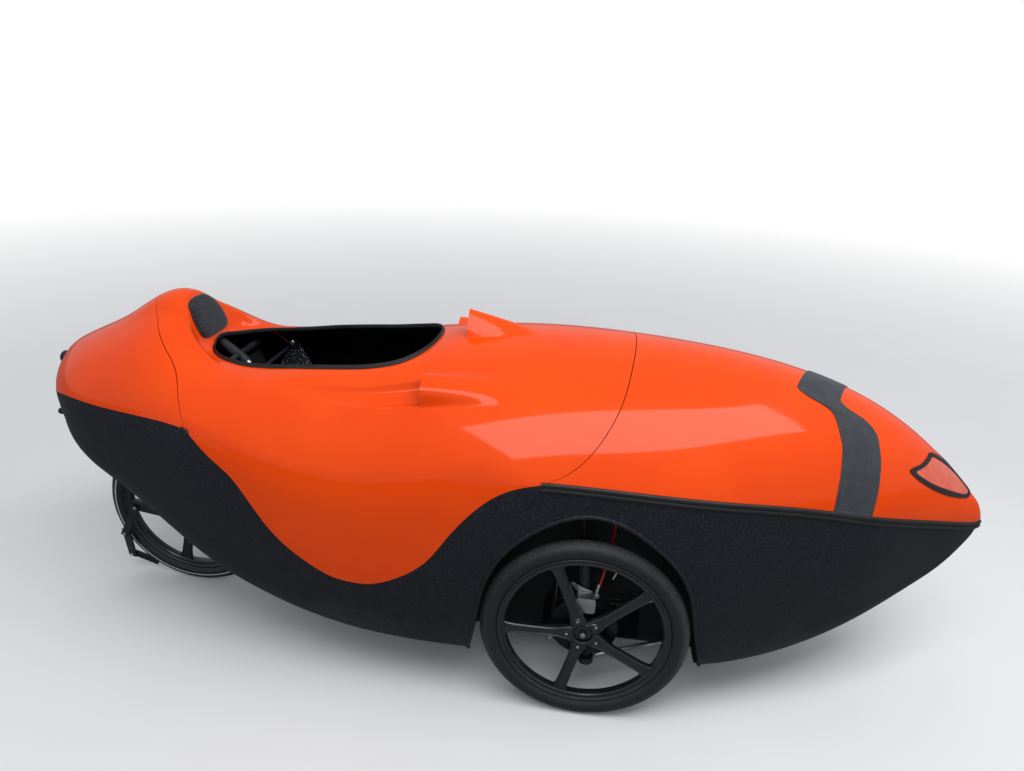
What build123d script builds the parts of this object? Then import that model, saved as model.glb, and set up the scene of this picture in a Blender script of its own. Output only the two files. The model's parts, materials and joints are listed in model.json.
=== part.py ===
from build123d import *
import math
import os

os.makedirs("parts", exist_ok=True)

# Velomobile: a three-wheeled, fully faired pedal vehicle. Millimetres.
# X points forward, Y to the rider's left, Z up. The origin is on the ground under the middle
# of the body's length, on the mid-plane.

# Driving dimensions
TYRE_RADIUS = 245.0        # 406 rim with a 40 mm tyre
TYRE_WIDTH = 42.0
RIM_RADIUS = TYRE_RADIUS - TYRE_WIDTH      # where the tyre sits
RIM_INNER_RADIUS = RIM_RADIUS - 19
RIM_WIDTH = 28.0
FRONT_AXLE_X = 262.0
REAR_AXLE_X = -877.0
HALF_TRACK = 326.0
SHELL_WALL = 4.0           # orange laminate panels
TUB_WALL = 4.0             # black tub
WELL_WALL = 3.0            # wheel housings
SEAM = 2.0                 # open joint between two panels
SEAT_GAP = 0.3             # a piece laid on another
RIM_SEAM = 2.0             # between a loose cover and the tub's rim
STEER_LIMIT = 22.0         # degrees each way

# The body's sections, from tail to nose:
# x, top, crease_y, crease_z, rim_y, rim_z, low_y, bilge, floor
# The crease is the soft edge along the hood, the rim is the widest line, low_y is the half
# width just above the bilge, whose radius is bilge, and floor is the height of the underside.
SECTIONS = [
    (-1190, 672, 34, 660, 70, 606, 58, 40, 548),
    (-1110, 740, 74, 720, 156, 636, 150, 98, 465),
    (-960, 824, 92, 796, 234, 640, 222, 140, 377),
    (-796, 886, 86, 846, 286, 626, 273, 166, 277),
    (-560, 797, 160, 770, 338, 586, 321, 160, 163),
    (-300, 814, 172, 786, 362, 576, 346, 110, 128),
    (0, 852, 136, 830, 370, 624, 356, 98, 125),
    (260, 860, 132, 836, 366, 638, 350, 95, 125),
    (520, 844, 130, 812, 336, 618, 326, 98, 125),
    (740, 804, 118, 772, 258, 578, 248, 105, 133),
    (920, 738, 90, 706, 188, 534, 180, 95, 203),
    (1060, 645, 54, 620, 108, 494, 102, 60, 283),
    (1150, 562, 30, 544, 56, 468, 52, 32, 355),
    (1205, 505, 12, 496, 18, 450, 15, 10, 420),
]
# The blunt ends beyond the first and the last section, with the same columns
TAIL_END = (-1222, 634, 14, 630, 26, 604, 22, 14, 576)
NOSE_END = (1221, 462, 3, 459, 6, 449, 5, 3, 438)
HOOD_BULGE = 0.10          # how far the hood's sides bow out, as a share of their height
TUB_BULGE = 0.03
DIAGONAL = math.sqrt(0.5)

# Panel joints, in side view
TAIL_SEAM = [(-890, 900), (-882, 852), (-843, 798), (-775, 745), (-728, 702), (-706, 655), (-700, 608)]
BIB = [(-700, 608), (-640, 584), (-577, 520), (-510, 424), (-430, 372), (-360, 338), (-290, 326),
       (-210, 338), (-140, 380), (-70, 450), (-10, 530), (60, 596), (125, 634)]
NOSE_SEAM = [(125, 634), (212, 668), (272, 712), (303, 790), (318, 840), (330, 900)]

# Cockpit opening, in plan
COCKPIT_REAR_X = -742.0
COCKPIT_FRONT_X = -161.0
COCKPIT_HALF_WIDTH = 158.0
LIP_THICK = 9.0

LAMP_CORNERS = [(985, 622), (1035, 650), (1145, 558)]      # side view

# Wheel arch, in side view, about the front axle
ARCH_TOP = 2 * TYRE_RADIUS + 88
WELL_INNER_Y = HALF_TRACK - 130
WELL_ROOF = ARCH_TOP + 14
WELL_REAR_X = FRONT_AXLE_X - TYRE_RADIUS - 31
WELL_FRONT_X = FRONT_AXLE_X + TYRE_RADIUS + 31
ARM_WINDOW = (FRONT_AXLE_X - 102, FRONT_AXLE_X + 138, 315.0)

# Steering
KINGPIN_LOW = (FRONT_AXLE_X + 13, HALF_TRACK - 34, 138.0)
KINGPIN_HIGH = (FRONT_AXLE_X - 25, HALF_TRACK - 64, 560.0)
STEERING_ARM = 84.0
STEERING_ARM_Z = 200.0
ROD_CLEARANCE = 4.0        # the arm's end dips as it steers, because the kingpin leans
DISC_RADIUS = 80.0
AXLE_RADIUS = 8.5
BORE_CLEARANCE = 0.5
CALIPER_Z = DISC_RADIUS - 12               # above the axle
SPOKES = 5
SPOKE_PHASE = 34.0

# Rear end
REAR_BOX_HALF = 84.0       # inner half width of the rear wheel's housing
REAR_BOX_RADIUS = TYRE_RADIUS + 17
SWINGARM_PIVOT = (REAR_AXLE_X + TYRE_RADIUS + 40, 0.0, 250.0)
SLOT_REAR_X = REAR_AXLE_X - 201
SLOT_FRONT_X = SWINGARM_PIVOT[0] + 40


def plane_at(x):
    return Plane(origin=(x, 0, 0), x_dir=(0, 1, 0), z_dir=(1, 0, 0))


def bow(start, end, share):
    """Middle point of an arc that bulges outward from the body's mid-plane."""
    run, rise = end[0] - start[0], end[1] - start[1]
    side = 1 if start[0] + end[0] > 0 else -1
    out_y, out_z = -rise, run
    if out_y * side < 0:
        out_y, out_z = -out_y, -out_z
    return ((start[0] + end[0]) / 2 + out_y * share, (start[1] + end[1]) / 2 + out_z * share)


def hood_points(row, inset, lift=0.0):
    x, top, crease_y, crease_z, rim_y, rim_z = row[:6]
    return top - inset, crease_y - 0.5 * inset, crease_z - inset, rim_y - inset, rim_z + lift


def tub_points(row, inset):
    rim_y, rim_z, low_y, bilge, floor = row[4:]
    return rim_y - inset, rim_z, low_y - inset, max(bilge - inset, 3.0), floor + inset


def hood_half(row, inset, side, lift=0.0):
    """Arc of one side of the hood, from the rim up to the crease."""
    top, crease_y, crease_z, rim_y, rim_z = hood_points(row, inset, lift)
    crease, rim = (side * crease_y, crease_z), (side * rim_y, rim_z)
    return ThreePointArc(rim, bow(crease, rim, HOOD_BULGE), crease)


def hood_top(row, inset):
    top, crease_y, crease_z = hood_points(row, inset)[:3]
    return ThreePointArc((crease_y, crease_z), (0, top), (-crease_y, crease_z))


def hood_wire(row, outer, inner, lift=0.0):
    """Closed outline of the hood's wall in one section."""
    out_y, rim_z = hood_points(row, outer, lift)[3:]
    in_y = hood_points(row, inner, lift)[3]
    with BuildLine(plane_at(row[0])) as line:
        hood_half(row, outer, 1, lift)
        hood_top(row, outer)
        hood_half(row, outer, -1, lift)
        Line((-out_y, rim_z), (-in_y, rim_z))
        hood_half(row, inner, -1, lift)
        hood_top(row, inner)
        hood_half(row, inner, 1, lift)
        Line((in_y, rim_z), (out_y, rim_z))
    return line.wire()


def tub_half(row, inset, side):
    """Arcs of one side of the tub, from the rim down to the floor."""
    rim_y, rim_z, low_y, bilge, floor = tub_points(row, inset)
    rim, low = (side * rim_y, rim_z), (side * low_y, floor + bilge)
    turn = (side * (low_y - bilge + bilge * DIAGONAL), floor + bilge - bilge * DIAGONAL)
    ThreePointArc(rim, bow(rim, low, TUB_BULGE), low)
    ThreePointArc(low, turn, (side * (low_y - bilge), floor))


def tub_wire(row, outer, inner):
    """Closed outline of the tub's wall in one section."""
    edges = []
    for inset in (outer, inner):
        rim_y, rim_z, low_y, bilge, floor = tub_points(row, inset)
        edges.append((rim_y, low_y - bilge, floor))
    with BuildLine(plane_at(row[0])) as line:
        for inset, edge in zip((outer, inner), edges):
            tub_half(row, inset, 1)
            tub_half(row, inset, -1)
            Line((edge[1], edge[2]), (-edge[1], edge[2]))
        for side in (1, -1):
            Line((side * edges[0][0], rim_z), (side * edges[1][0], rim_z))
    return line.wire()


def mantle_wire(row, outer, inner):
    """Closed outline of one wall that runs over the hood and down both flanks to the bilge."""
    with BuildLine(plane_at(row[0])) as line:
        for inset in (outer, inner):
            hood_half(row, inset, 1)
            hood_top(row, inset)
            hood_half(row, inset, -1)
        for side in (1, -1):
            ends = []
            for inset in (outer, inner):
                rim_y, rim_z, low_y, bilge, floor = tub_points(row, inset)
                rim, low = (side * rim_y, rim_z), (side * low_y, row[7] + row[8])
                ThreePointArc(rim, bow(rim, low, TUB_BULGE), low)
                ends.append(low)
            Line(*ends)
    return line.wire()


def whole_wire(row, inset):
    """Closed outline of the whole body in one section."""
    low_y, bilge, floor = tub_points(row, inset)[2:]
    with BuildLine(plane_at(row[0])) as line:
        hood_half(row, inset, 1)
        hood_top(row, inset)
        hood_half(row, inset, -1)
        tub_half(row, inset, -1)
        Line((low_y - bilge, floor), (bilge - low_y, floor))
        tub_half(row, inset, 1)
    return line.wire()


def loft_rows(wires):
    return Solid.make_loft(wires)


def rows_between(low_x, high_x):
    return [row for row in SECTIONS if low_x <= row[0] <= high_x]


def side_prism(points, low_y=-600.0, high_y=600.0):
    """A side-view outline, run straight through the body along Y."""
    with BuildSketch(Plane.XZ) as sketch:
        with BuildLine():
            Polyline(*points, close=True)
        make_face()
    return Pos(0, high_y, 0) * extrude(sketch.sketch, high_y - low_y)


def tube(start, end, radius, bore=0.0):
    """A round bar or tube between two points."""
    run = Vector(*end) - Vector(*start)
    plane = Plane(origin=start, z_dir=run)
    bar = extrude(plane * Circle(radius), run.length)
    if bore:
        bar -= extrude(plane * Circle(bore), run.length)
    return bar


def on_kingpin(height):
    """Point on the left kingpin axis at a height."""
    share = (height - KINGPIN_LOW[2]) / (KINGPIN_HIGH[2] - KINGPIN_LOW[2])
    return tuple(a + (b - a) * share for a, b in zip(KINGPIN_LOW, KINGPIN_HIGH))


def both_sides(left):
    return left, mirror(left, about=Plane.XZ)


def save(name, *solids):
    shape = solids[0] if len(solids) == 1 else Compound(children=list(solids))
    shape.label = name
    export_step(shape, f"parts/{name}.step")
    print(name, len(shape.solids()), round(shape.volume / 1000), "cm3")


def arch_outline(grow=0.0):
    """Wheel arch in side view: two legs and a taller-than-round top."""
    axle, top = FRONT_AXLE_X, ARCH_TOP + grow
    rear, front = axle - TYRE_RADIUS - 9 - grow, axle + TYRE_RADIUS + 9 + grow
    with BuildSketch(Plane.XZ) as sketch:
        with BuildLine():
            Line((rear - 8, 20), (rear, 250))
            ThreePointArc((rear, 250), (rear + 52 + 0.3 * grow, top - 133 - 0.5 * grow), (axle - 112, top - 40))
            ThreePointArc((axle - 112, top - 40), (axle, top), (axle + 118, top - 48))
            ThreePointArc((axle + 118, top - 48), (front - 50 - 0.3 * grow, top - 138 - 0.5 * grow), (front, 270))
            Line((front, 270), (front + 26, 20))
            Line((front + 26, 20), (rear - 8, 20))
        make_face()
    return sketch.sketch


def side_extrude(sketch, low_y, high_y):
    return Pos(0, high_y, 0) * extrude(sketch, high_y - low_y)


# Body shell

def make_tub(bib_cutter):
    rows = SECTIONS
    tub = loft_rows([tub_wire(row, 0, TUB_WALL) for row in rows])
    lip = loft_rows([tub_wire(row, -6, 0.5) for row in SECTIONS])
    lip &= side_extrude(arch_outline(13), 200, 600)
    tub += lip
    tub += mirror(lip, about=Plane.XZ)
    arch = side_extrude(arch_outline(), WELL_INNER_Y + WELL_WALL, 600)
    tub -= arch
    tub -= mirror(arch, about=Plane.XZ)
    middle = (SLOT_REAR_X + SLOT_FRONT_X) / 2
    slot = Pos(middle, 0, 250) * Box(SLOT_FRONT_X - SLOT_REAR_X, 2 * REAR_BOX_HALF, 500)
    tub -= slot
    tub -= bib_cutter
    return tub


def make_wells(inside):
    length = WELL_FRONT_X - WELL_REAR_X
    middle = (WELL_FRONT_X + WELL_REAR_X) / 2
    depth = 200.0
    outer = Pos(middle, WELL_INNER_Y + depth / 2, WELL_ROOF / 2) * Box(length, depth, WELL_ROOF)
    hollow = Pos(middle, WELL_INNER_Y + WELL_WALL + depth / 2, (WELL_ROOF - WELL_WALL) / 2)
    outer -= hollow * Box(length - 2 * WELL_WALL, depth, WELL_ROOF - WELL_WALL)
    low_x, high_x, height = ARM_WINDOW
    radius = (high_x - low_x) / 2
    with BuildSketch(Plane.XZ) as window:
        with Locations((low_x + radius, height - radius)):
            Circle(radius)
        with Locations((low_x + radius, (height - radius) / 2)):
            Rectangle(2 * radius, height - radius)
    outer -= side_extrude(window.sketch, WELL_INNER_Y - 5, WELL_INNER_Y + 2 * WELL_WALL)
    left = outer & inside
    return both_sides(left)


def end_cap(row, end, wall):
    """Closed end of the body beyond its last section, cut into an upper and a lower half.

    It is hollow where there is room for it, as at the tail."""
    toward = 1 if end[0] > row[0] else -1
    shell = loft_rows([whole_wire(row, SEAT_GAP), whole_wire(end, 0)])
    if wall < end[4] / 4:
        short = (end[0] - toward * wall,) + end[1:]
        shell -= loft_rows([whole_wire(row, wall + SEAT_GAP), whole_wire(short, wall)])
    above = Pos(0, 0, row[5] + 500 + RIM_SEAM + SEAT_GAP) * Box(4000, 1000, 1000)
    below = Pos(0, 0, row[5] - 500 - SEAT_GAP) * Box(4000, 1000, 1000)
    return shell & above, shell & below


def make_hood_panels():
    rows = SECTIONS
    mantle = loft_rows([mantle_wire(row, 0, SHELL_WALL) for row in rows])
    loose = loft_rows([hood_wire(row, 0, SHELL_WALL, RIM_SEAM) for row in rows])
    middle_outline = [(-890, 950)] + [(x + SEAM / 2, z) for x, z in TAIL_SEAM]
    middle_outline += [(x, z + 1) for x, z in BIB[1:-1]]
    middle_outline += [(x - SEAM / 2, z + RIM_SEAM) for x, z in NOSE_SEAM[:1]]
    middle_outline += [(x - SEAM / 2, z) for x, z in NOSE_SEAM[1:]] + [(330, 950)]
    keep = side_prism(middle_outline)
    middle = mantle & keep
    nose = loose & side_prism([(x + SEAM / 2, z) for x, z in NOSE_SEAM] + [(330, 950), (1300, 950),
                                                                         (1300, 300), (125, 300)])
    tail = loose & side_prism([(x - SEAM / 2, z) for x, z in TAIL_SEAM] + [(-700, 300), (-1300, 300),
                                                                         (-1300, 950), (-890, 950)])
    return middle, nose, tail


def cockpit_outline(grow=0.0):
    """Opening in plan: a narrow round end at the head, a blunt end in front."""
    half = COCKPIT_HALF_WIDTH + grow
    rear, front = COCKPIT_REAR_X - grow, COCKPIT_FRONT_X + grow
    with BuildSketch(Plane.XY) as sketch:
        with BuildLine():
            for side in (1, -1):
                ThreePointArc((rear, 0), (rear + 22, side * 0.42 * half), (rear + 75, side * 0.66 * half))
                ThreePointArc((rear + 75, side * 0.66 * half), (rear + 195, side * 0.95 * half),
                              (rear + 330, side * half))
                ThreePointArc((rear + 330, side * half), (front - 120, side * 0.96 * half),
                              (front - 45, side * 0.84 * half))
                ThreePointArc((front - 45, side * 0.84 * half), (front - 8, side * 0.5 * half), (front, 0))
        make_face()
    return sketch.sketch


DECK = [(-804, 960), (-804, 885), (-796, 850), (-786, 798), (-768, 764), (-742, 753), (-640, 757),
        (-560, 762), (-450, 772), (-300, 788), (-215, 804), (-165, 822), (-120, 842), (-60, 866), (-60, 960)]


def head_face(drop):
    """Side-view cutter for the deck round the cockpit and the face of the head fairing."""
    return side_prism([(x + drop * 0.6, z - drop) if z < 950 else (x + drop * 0.6, z) for x, z in DECK])


def make_deck():
    """The deck's own skin, where the hood is cut down to it."""
    skin = head_face(SHELL_WALL) - head_face(0)
    return skin


def make_blister():
    """Rear-facing outlet scoop on the left flank."""
    outlet, tip = Vector(-165, 208, 768), Vector(52, 248, 748)
    run = outlet - tip
    def cone(shrink):
        back = Plane(origin=outlet, z_dir=(-1, 0, 0), x_dir=Vector(0, 75, -64))
        with BuildSketch(back) as mouth:
            Ellipse(50 - shrink, 27 - shrink)
        front = Plane(origin=tip, z_dir=(-1, 0, 0), x_dir=Vector(0, 75, -64))
        with BuildSketch(front) as end:
            Ellipse(14 - shrink, 5 - shrink)
        return Solid.make_loft([mouth.sketch.faces()[0].outer_wire(), end.sketch.faces()[0].outer_wire()])
    return cone(0), cone(3)


def make_top_scoop():
    """Rear-facing wedge on the hood, ahead of the cockpit."""
    with BuildSketch(Plane.XZ) as sketch:
        with BuildLine():
            Polyline((-78, 846), (-84, 904), (-70, 902), (88, 864), (88, 846), close=True)
        make_face()
    outer = extrude(sketch.sketch, 44, both=True)
    with BuildSketch(Plane.XZ) as sketch:
        with BuildLine():
            Polyline((-100, 858), (-100, 899), (-72, 896), (56, 865), (56, 858), close=True)
        make_face()
    return outer, extrude(sketch.sketch, 40, both=True)



def make_rear_box(inside):
    """Housing round the rear wheel, with a snout ahead for the swingarm."""
    def profile(grow):
        with BuildSketch(Plane.XZ) as sketch:
            with Locations((REAR_AXLE_X, TYRE_RADIUS)):
                Circle(REAR_BOX_RADIUS + grow)
            low_x, high_x = REAR_AXLE_X, SLOT_FRONT_X + grow
            with Locations(((low_x + high_x) / 2, 150)):
                Rectangle(high_x - low_x, 300 + 2 * grow)
        return sketch.sketch
    wide = REAR_BOX_HALF + WELL_WALL
    box = side_extrude(profile(WELL_WALL), -wide, wide)
    box -= side_extrude(profile(0), -REAR_BOX_HALF, REAR_BOX_HALF)
    return box & inside


# Wheels, built at the origin with the outer face toward +Y

def make_rim(hub_half, bore, cap):
    with BuildSketch(Plane.XY) as profile:
        with BuildLine():
            half = RIM_WIDTH / 2
            Polyline((RIM_INNER_RADIUS, -half + 5), (RIM_INNER_RADIUS, half - 5), (RIM_RADIUS - 8, half),
                     (RIM_RADIUS, half), (RIM_RADIUS, -half), (RIM_RADIUS - 8, -half), close=True)
        make_face()
    rim = revolve(profile.sketch, Axis.Y)
    outer_end = 22 if cap else hub_half
    hub = tube((0, -hub_half, 0), (0, outer_end, 0), 27)
    wheel = rim + hub
    for number in range(SPOKES):
        wheel += Rot(0, -SPOKE_PHASE - number * 360 / SPOKES, 0) * make_spoke()
    if cap:
        wheel -= tube((0, -hub_half - 1, 0), (0, 20, 0), bore)
        return wheel + tube((0, 21, 0), (0, 27, 0), 17)
    return wheel - tube((0, -hub_half - 1, 0), (0, hub_half + 1, 0), bore)


def make_spoke():
    """One tapered blade from the hub out to the rim, dished toward the outer face."""
    wires = []
    for radius, width, low_y, high_y in ((20, 36, 4, 19), (80, 24, 3, 16), (189, 26, -5, 8)):
        plane = Plane(origin=(radius, 0, 0), x_dir=(0, 1, 0), z_dir=(1, 0, 0))
        with BuildLine(plane) as line:
            Polyline((low_y, -width / 2), (high_y - 4, -width / 2), (high_y, -width / 5),
                     (high_y, width / 5), (high_y - 4, width / 2), (low_y, width / 2), close=True)
        wires.append(line.wire())
    return Solid.make_loft(wires, ruled=True)


def make_tyre():
    half, bead = TYRE_WIDTH / 2, RIM_WIDTH / 2 - 1
    base = RIM_RADIUS + SEAT_GAP
    with BuildSketch(Plane.XY) as profile:
        with BuildLine():
            Line((base, -bead), (base, bead))
            ThreePointArc((base, bead), (base + 14, half), (TYRE_RADIUS - 9, half - 7))
            ThreePointArc((TYRE_RADIUS - 9, half - 7), (TYRE_RADIUS, 0), (TYRE_RADIUS - 9, 7 - half))
            ThreePointArc((TYRE_RADIUS - 9, 7 - half), (base + 14, -half), (base, -bead))
        make_face()
    return revolve(profile.sketch, Axis.Y)


def make_disc():
    """Brake disc on the hub's inner side."""
    disc = tube((0, -13, 0), (0, -11, 0), DISC_RADIUS, 27 + SEAT_GAP)
    with BuildSketch(Plane.XZ) as holes:
        with PolarLocations(48, 6):
            Circle(9)
    return disc - side_extrude(holes.sketch, -14, -10)


def front_wheel_place(shape, side):
    turned = shape if side > 0 else mirror(shape, about=Plane.XZ)
    return Pos(FRONT_AXLE_X, side * HALF_TRACK, TYRE_RADIUS) * turned


# Front suspension and steering, left side

def make_knuckle():
    leg = tube(on_kingpin(KINGPIN_LOW[2] + 12), on_kingpin(214), 13)
    leg += tube(on_kingpin(KINGPIN_LOW[2] + 6.4), on_kingpin(KINGPIN_LOW[2] + 14), 6)
    strut = tube(on_kingpin(212), on_kingpin(455), 16, 8)
    axle_point = on_kingpin(TYRE_RADIUS)
    face_y = HALF_TRACK - 21
    carrier = tube((FRONT_AXLE_X, axle_point[1] - 14, TYRE_RADIUS), (FRONT_AXLE_X, face_y, TYRE_RADIUS), 22)
    axle = tube((FRONT_AXLE_X, face_y - 5, TYRE_RADIUS), (FRONT_AXLE_X, HALF_TRACK + 19, TYRE_RADIUS),
                AXLE_RADIUS)
    mount_z = TYRE_RADIUS + CALIPER_Z
    bracket = Pos(FRONT_AXLE_X, HALF_TRACK - 36, mount_z) * Box(30, 20, 14)
    arm_start = on_kingpin(STEERING_ARM_Z)
    arm_end = (arm_start[0] - STEERING_ARM, arm_start[1] - 6, STEERING_ARM_Z)
    arm = tube(arm_start, arm_end, 7)
    eye = Pos(*arm_end) * Cylinder(12, 14)
    return leg + strut + carrier + axle + bracket + arm + eye


def make_caliper():
    """Two halves over the disc, joined at the top."""
    z = TYRE_RADIUS + CALIPER_Z
    body = Pos(FRONT_AXLE_X, HALF_TRACK - 12.5, z) * Box(46, 26, 40)
    body = fillet(body.edges().filter_by(Axis.Y), 7)
    slot_top = TYRE_RADIUS + DISC_RADIUS + 3
    slot = Pos(FRONT_AXLE_X, HALF_TRACK - 12, slot_top - 25) * Box(60, 6, 50)
    return body - slot


def make_strut_top():
    """Piston rod, rubber bellows and mounting plate under the housing's roof."""
    low, high = Vector(*on_kingpin(456)), Vector(*on_kingpin(WELL_ROOF - WELL_WALL - SEAT_GAP - 5))
    rod = tube(tuple(low), tuple(high), 6)
    plane = Plane(origin=tuple(high), z_dir=low - high)
    shape = rod + extrude(plane * Circle(30), 6)
    for number in range(4):
        ring = extrude(plane.offset(6 + number * 14) * Circle(27 - 3 * number), 9)
        core = extrude(plane.offset(6 + number * 14) * Circle(20 - 3 * number), 14)
        shape = shape + ring + core
    return shape


def make_lower_arm():
    """Wishbone from the ball joint to two pivots on the floor."""
    ball = KINGPIN_LOW
    arm = Pos(ball[0], ball[1], ball[2] - 3) * Cylinder(18, 16)
    for pivot_x in (FRONT_AXLE_X - 67, FRONT_AXLE_X + 83):
        pivot = (pivot_x, 108, 158)
        arm += tube((ball[0], ball[1] - 8, ball[2] - 2), pivot, 8)
        arm += tube((pivot_x - 14, 108, 158), (pivot_x + 14, 108, 158), 13)
        arm += Pos(pivot_x, 108, 141) * Box(24, 22, 22)
    return arm


def make_radius_rod():
    """Bright stay that holds the wishbone's outer end fore and aft."""
    ball, foot = KINGPIN_LOW, (FRONT_AXLE_X + 216, WELL_INNER_Y + WELL_WALL + 6.3, 143)
    rod = tube((ball[0] + 21, ball[1] - 9, ball[2]), foot, 6)
    return rod + Pos(*foot) * Box(24, 12, 24)


def make_brake_hose():
    top_z, caliper_z = WELL_ROOF - 18, TYRE_RADIUS + CALIPER_Z + 22
    points = [(52, -74, top_z), (53, -63, top_z - 54), (48, -53, top_z - 124), (38, -40, top_z - 184),
              (24, -24, caliper_z)]
    path = Spline(*[(FRONT_AXLE_X + x, HALF_TRACK + y, z) for x, y, z in points])
    plane = Plane(origin=path @ 0, z_dir=path % 0)
    return sweep(plane * Circle(3), path=path)


def make_track_rod():
    """One bar between the two steering arms."""
    arm = on_kingpin(STEERING_ARM_Z)
    x, y, z = arm[0] - STEERING_ARM, arm[1] - 6, STEERING_ARM_Z - 7 - ROD_CLEARANCE - 6
    rod = tube((x, -y, z), (x, y, z), 5)
    for side in (1, -1):
        rod += Pos(x, side * y, z) * Cylinder(11, 12)
    return rod


def make_swingarm():
    """Fork that carries the rear wheel, with its pivot tube ahead."""
    px, py, pz = SWINGARM_PIVOT
    fork = tube((px, -REAR_BOX_HALF + 0.3, pz), (px, REAR_BOX_HALF - 0.3, pz), 16)
    for side in (1, -1):
        y = side * 54
        with BuildSketch(Plane.XZ) as blade:
            with BuildLine():
                Polyline((px + 4, pz + 16), (px + 4, pz - 16), (REAR_AXLE_X - 8, TYRE_RADIUS - 15),
                         (REAR_AXLE_X - 22, TYRE_RADIUS), (REAR_AXLE_X - 8, TYRE_RADIUS + 15), close=True)
            make_face()
        fork += side_extrude(blade.sketch, y - 5, y + 5)
    fork += tube((REAR_AXLE_X, -66, TYRE_RADIUS), (REAR_AXLE_X, 66, TYRE_RADIUS), AXLE_RADIUS)
    fork += tube((REAR_AXLE_X, 59, TYRE_RADIUS), (REAR_AXLE_X, 79, TYRE_RADIUS), 5)
    return fork


# Seat and cockpit fittings

def make_seat(inside):
    with BuildSketch(Plane.XZ) as side:
        with BuildLine():
            Polyline((-150, 215), (-330, 180), (-430, 200), (-600, 470), (-705, 690), (-717, 684),
                     (-612, 462), (-440, 186), (-330, 166), (-150, 202), close=True)
        make_face()
    seat = side_extrude(side.sketch, -150, 150)
    for x, top in ((-380, 184), (-200, 198)):
        for y in (-110, 110):
            seat += Pos(x, y, top - 40) * Box(30, 24, 80)
    return seat & inside


def make_seat_bar():
    """Padded bar across the back of the cockpit."""
    return tube((-704, -175, 716), (-704, 175, 716), 17)


# Trim, lamps and strap

def make_rim_trim():
    """Rubber edging along the hood's lower edge, from the wheel arch to the nose."""
    pieces = []
    for side in (1, -1):
        wires = []
        for row in SECTIONS:
            y, z = row[4] + SEAT_GAP, row[5]
            with BuildLine(plane_at(row[0])) as line:
                Polyline((side * (y + 1.6), z - 9), (side * (y + 5), z - 9), (side * (y + 6), z),
                         (side * (y + 5), z + 9), (side * (y + 1.6), z + 9), (side * y, z), close=True)
            wires.append(line.wire())
        pieces.append(Solid.make_loft(wires) & Pos(127 + 1000, 0, 500) * Box(2000, 1000, 1000))
    return pieces


def make_strap():
    band = loft_rows([hood_wire(row, -2.6, -SEAT_GAP, 12.0) for row in SECTIONS])
    return band & side_prism([(745, 850), (835, 850), (905, 480), (812, 480)])


def make_cockpit_lip():
    ring = extrude(cockpit_outline(-SEAT_GAP), 400) - extrude(cockpit_outline(-LIP_THICK), 400)
    low = head_face(16) - head_face(-6)
    return (Pos(0, 0, 600) * ring) & low


def make_head_pad():
    with BuildSketch(Plane.YZ) as shield:
        with BuildLine():
            ThreePointArc((-50, 850), (0, 868), (50, 850))
            ThreePointArc((50, 850), (44, 810), (0, 776))
            ThreePointArc((0, 776), (-44, 810), (-50, 850))
        make_face()
    block = Pos(-900, 0, 0) * extrude(shield.sketch, 300)
    face = side_prism([(x + 0.4, z) for x, z in DECK[1:5]] + [(x + 16, z) for x, z in DECK[4:0:-1]])
    return block & face


def make_lamp(inset_out, inset_in, shrink):
    """Triangular lamp window on the left flank of the nose."""
    band = loft_rows([hood_wire(row, inset_out, inset_in, 4.0) for row in SECTIONS])
    corner = LAMP_CORNERS
    cx = sum(p[0] for p in corner) / 3
    cz = sum(p[1] for p in corner) / 3
    corner = [(cx + (x - cx) * (1 - shrink), cz + (z - cz) * (1 - shrink)) for x, z in corner]
    return band & side_prism(corner, 20, 600)


print("body")
middle_shell, nose_cover, tail_cover = make_hood_panels()
bib_cutter = side_prism([(-700, 960)] + [(x, z - 1) for x, z in BIB] + [(125, 960)])
tub = make_tub(bib_cutter)
tail_top, tail_low = end_cap(SECTIONS[0], TAIL_END, TUB_WALL)
nose_top, nose_low = end_cap(SECTIONS[-1], NOSE_END, TUB_WALL)
tub += tail_low
tub += nose_low
tail_cover += tail_top
nose_cover += nose_top

local_rows = rows_between(-1000, 260)
outer_local = loft_rows([whole_wire(row, 0) for row in local_rows])
cut_above = head_face(0)
middle_shell -= cut_above
deck = (make_deck() & outer_local) & side_prism([(-818, 960), (-818, 700), (-60, 700), (-60, 960)])
middle_shell += deck
cockpit_hole = Pos(0, 0, 640) * extrude(cockpit_outline(), 300)
middle_shell -= cockpit_hole
cone_out, cone_in = make_blister()
inside_local = loft_rows([whole_wire(row, SHELL_WALL * 0.5) for row in rows_between(-300, 260)])
blister = cone_out - inside_local
middle_shell += blister
middle_shell += mirror(blister, about=Plane.XZ)
middle_shell -= cone_in
middle_shell -= mirror(cone_in, about=Plane.XZ)
scoop_out, scoop_in = make_top_scoop()
middle_shell += scoop_out - inside_local
middle_shell -= scoop_in
save("tub", tub)
save("middle_shell", middle_shell)
save("nose_cover", nose_cover)
save("tail_cover", tail_cover)

inside = loft_rows([whole_wire(row, TUB_WALL + SEAT_GAP) for row in SECTIONS])
well_left, well_right = make_wells(inside)
save("wheel_well_left", well_left)
save("wheel_well_right", well_right)
save("rear_wheel_box", make_rear_box(inside))

front_rim, tyre, disc = make_rim(18, AXLE_RADIUS + BORE_CLEARANCE, True), make_tyre(), make_disc()
for side, word in ((1, "left"), (-1, "right")):
    save(f"front_wheel_{word}", front_wheel_place(front_rim, side))
    save(f"front_tyre_{word}", front_wheel_place(tyre, side))
    save(f"brake_disc_{word}", front_wheel_place(disc, side))
rear_rim = make_rim(40, AXLE_RADIUS + BORE_CLEARANCE, False)
save("rear_wheel", Pos(REAR_AXLE_X, 0, TYRE_RADIUS) * mirror(rear_rim, about=Plane.XZ))
save("rear_tyre", Pos(REAR_AXLE_X, 0, TYRE_RADIUS) * tyre)

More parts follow.
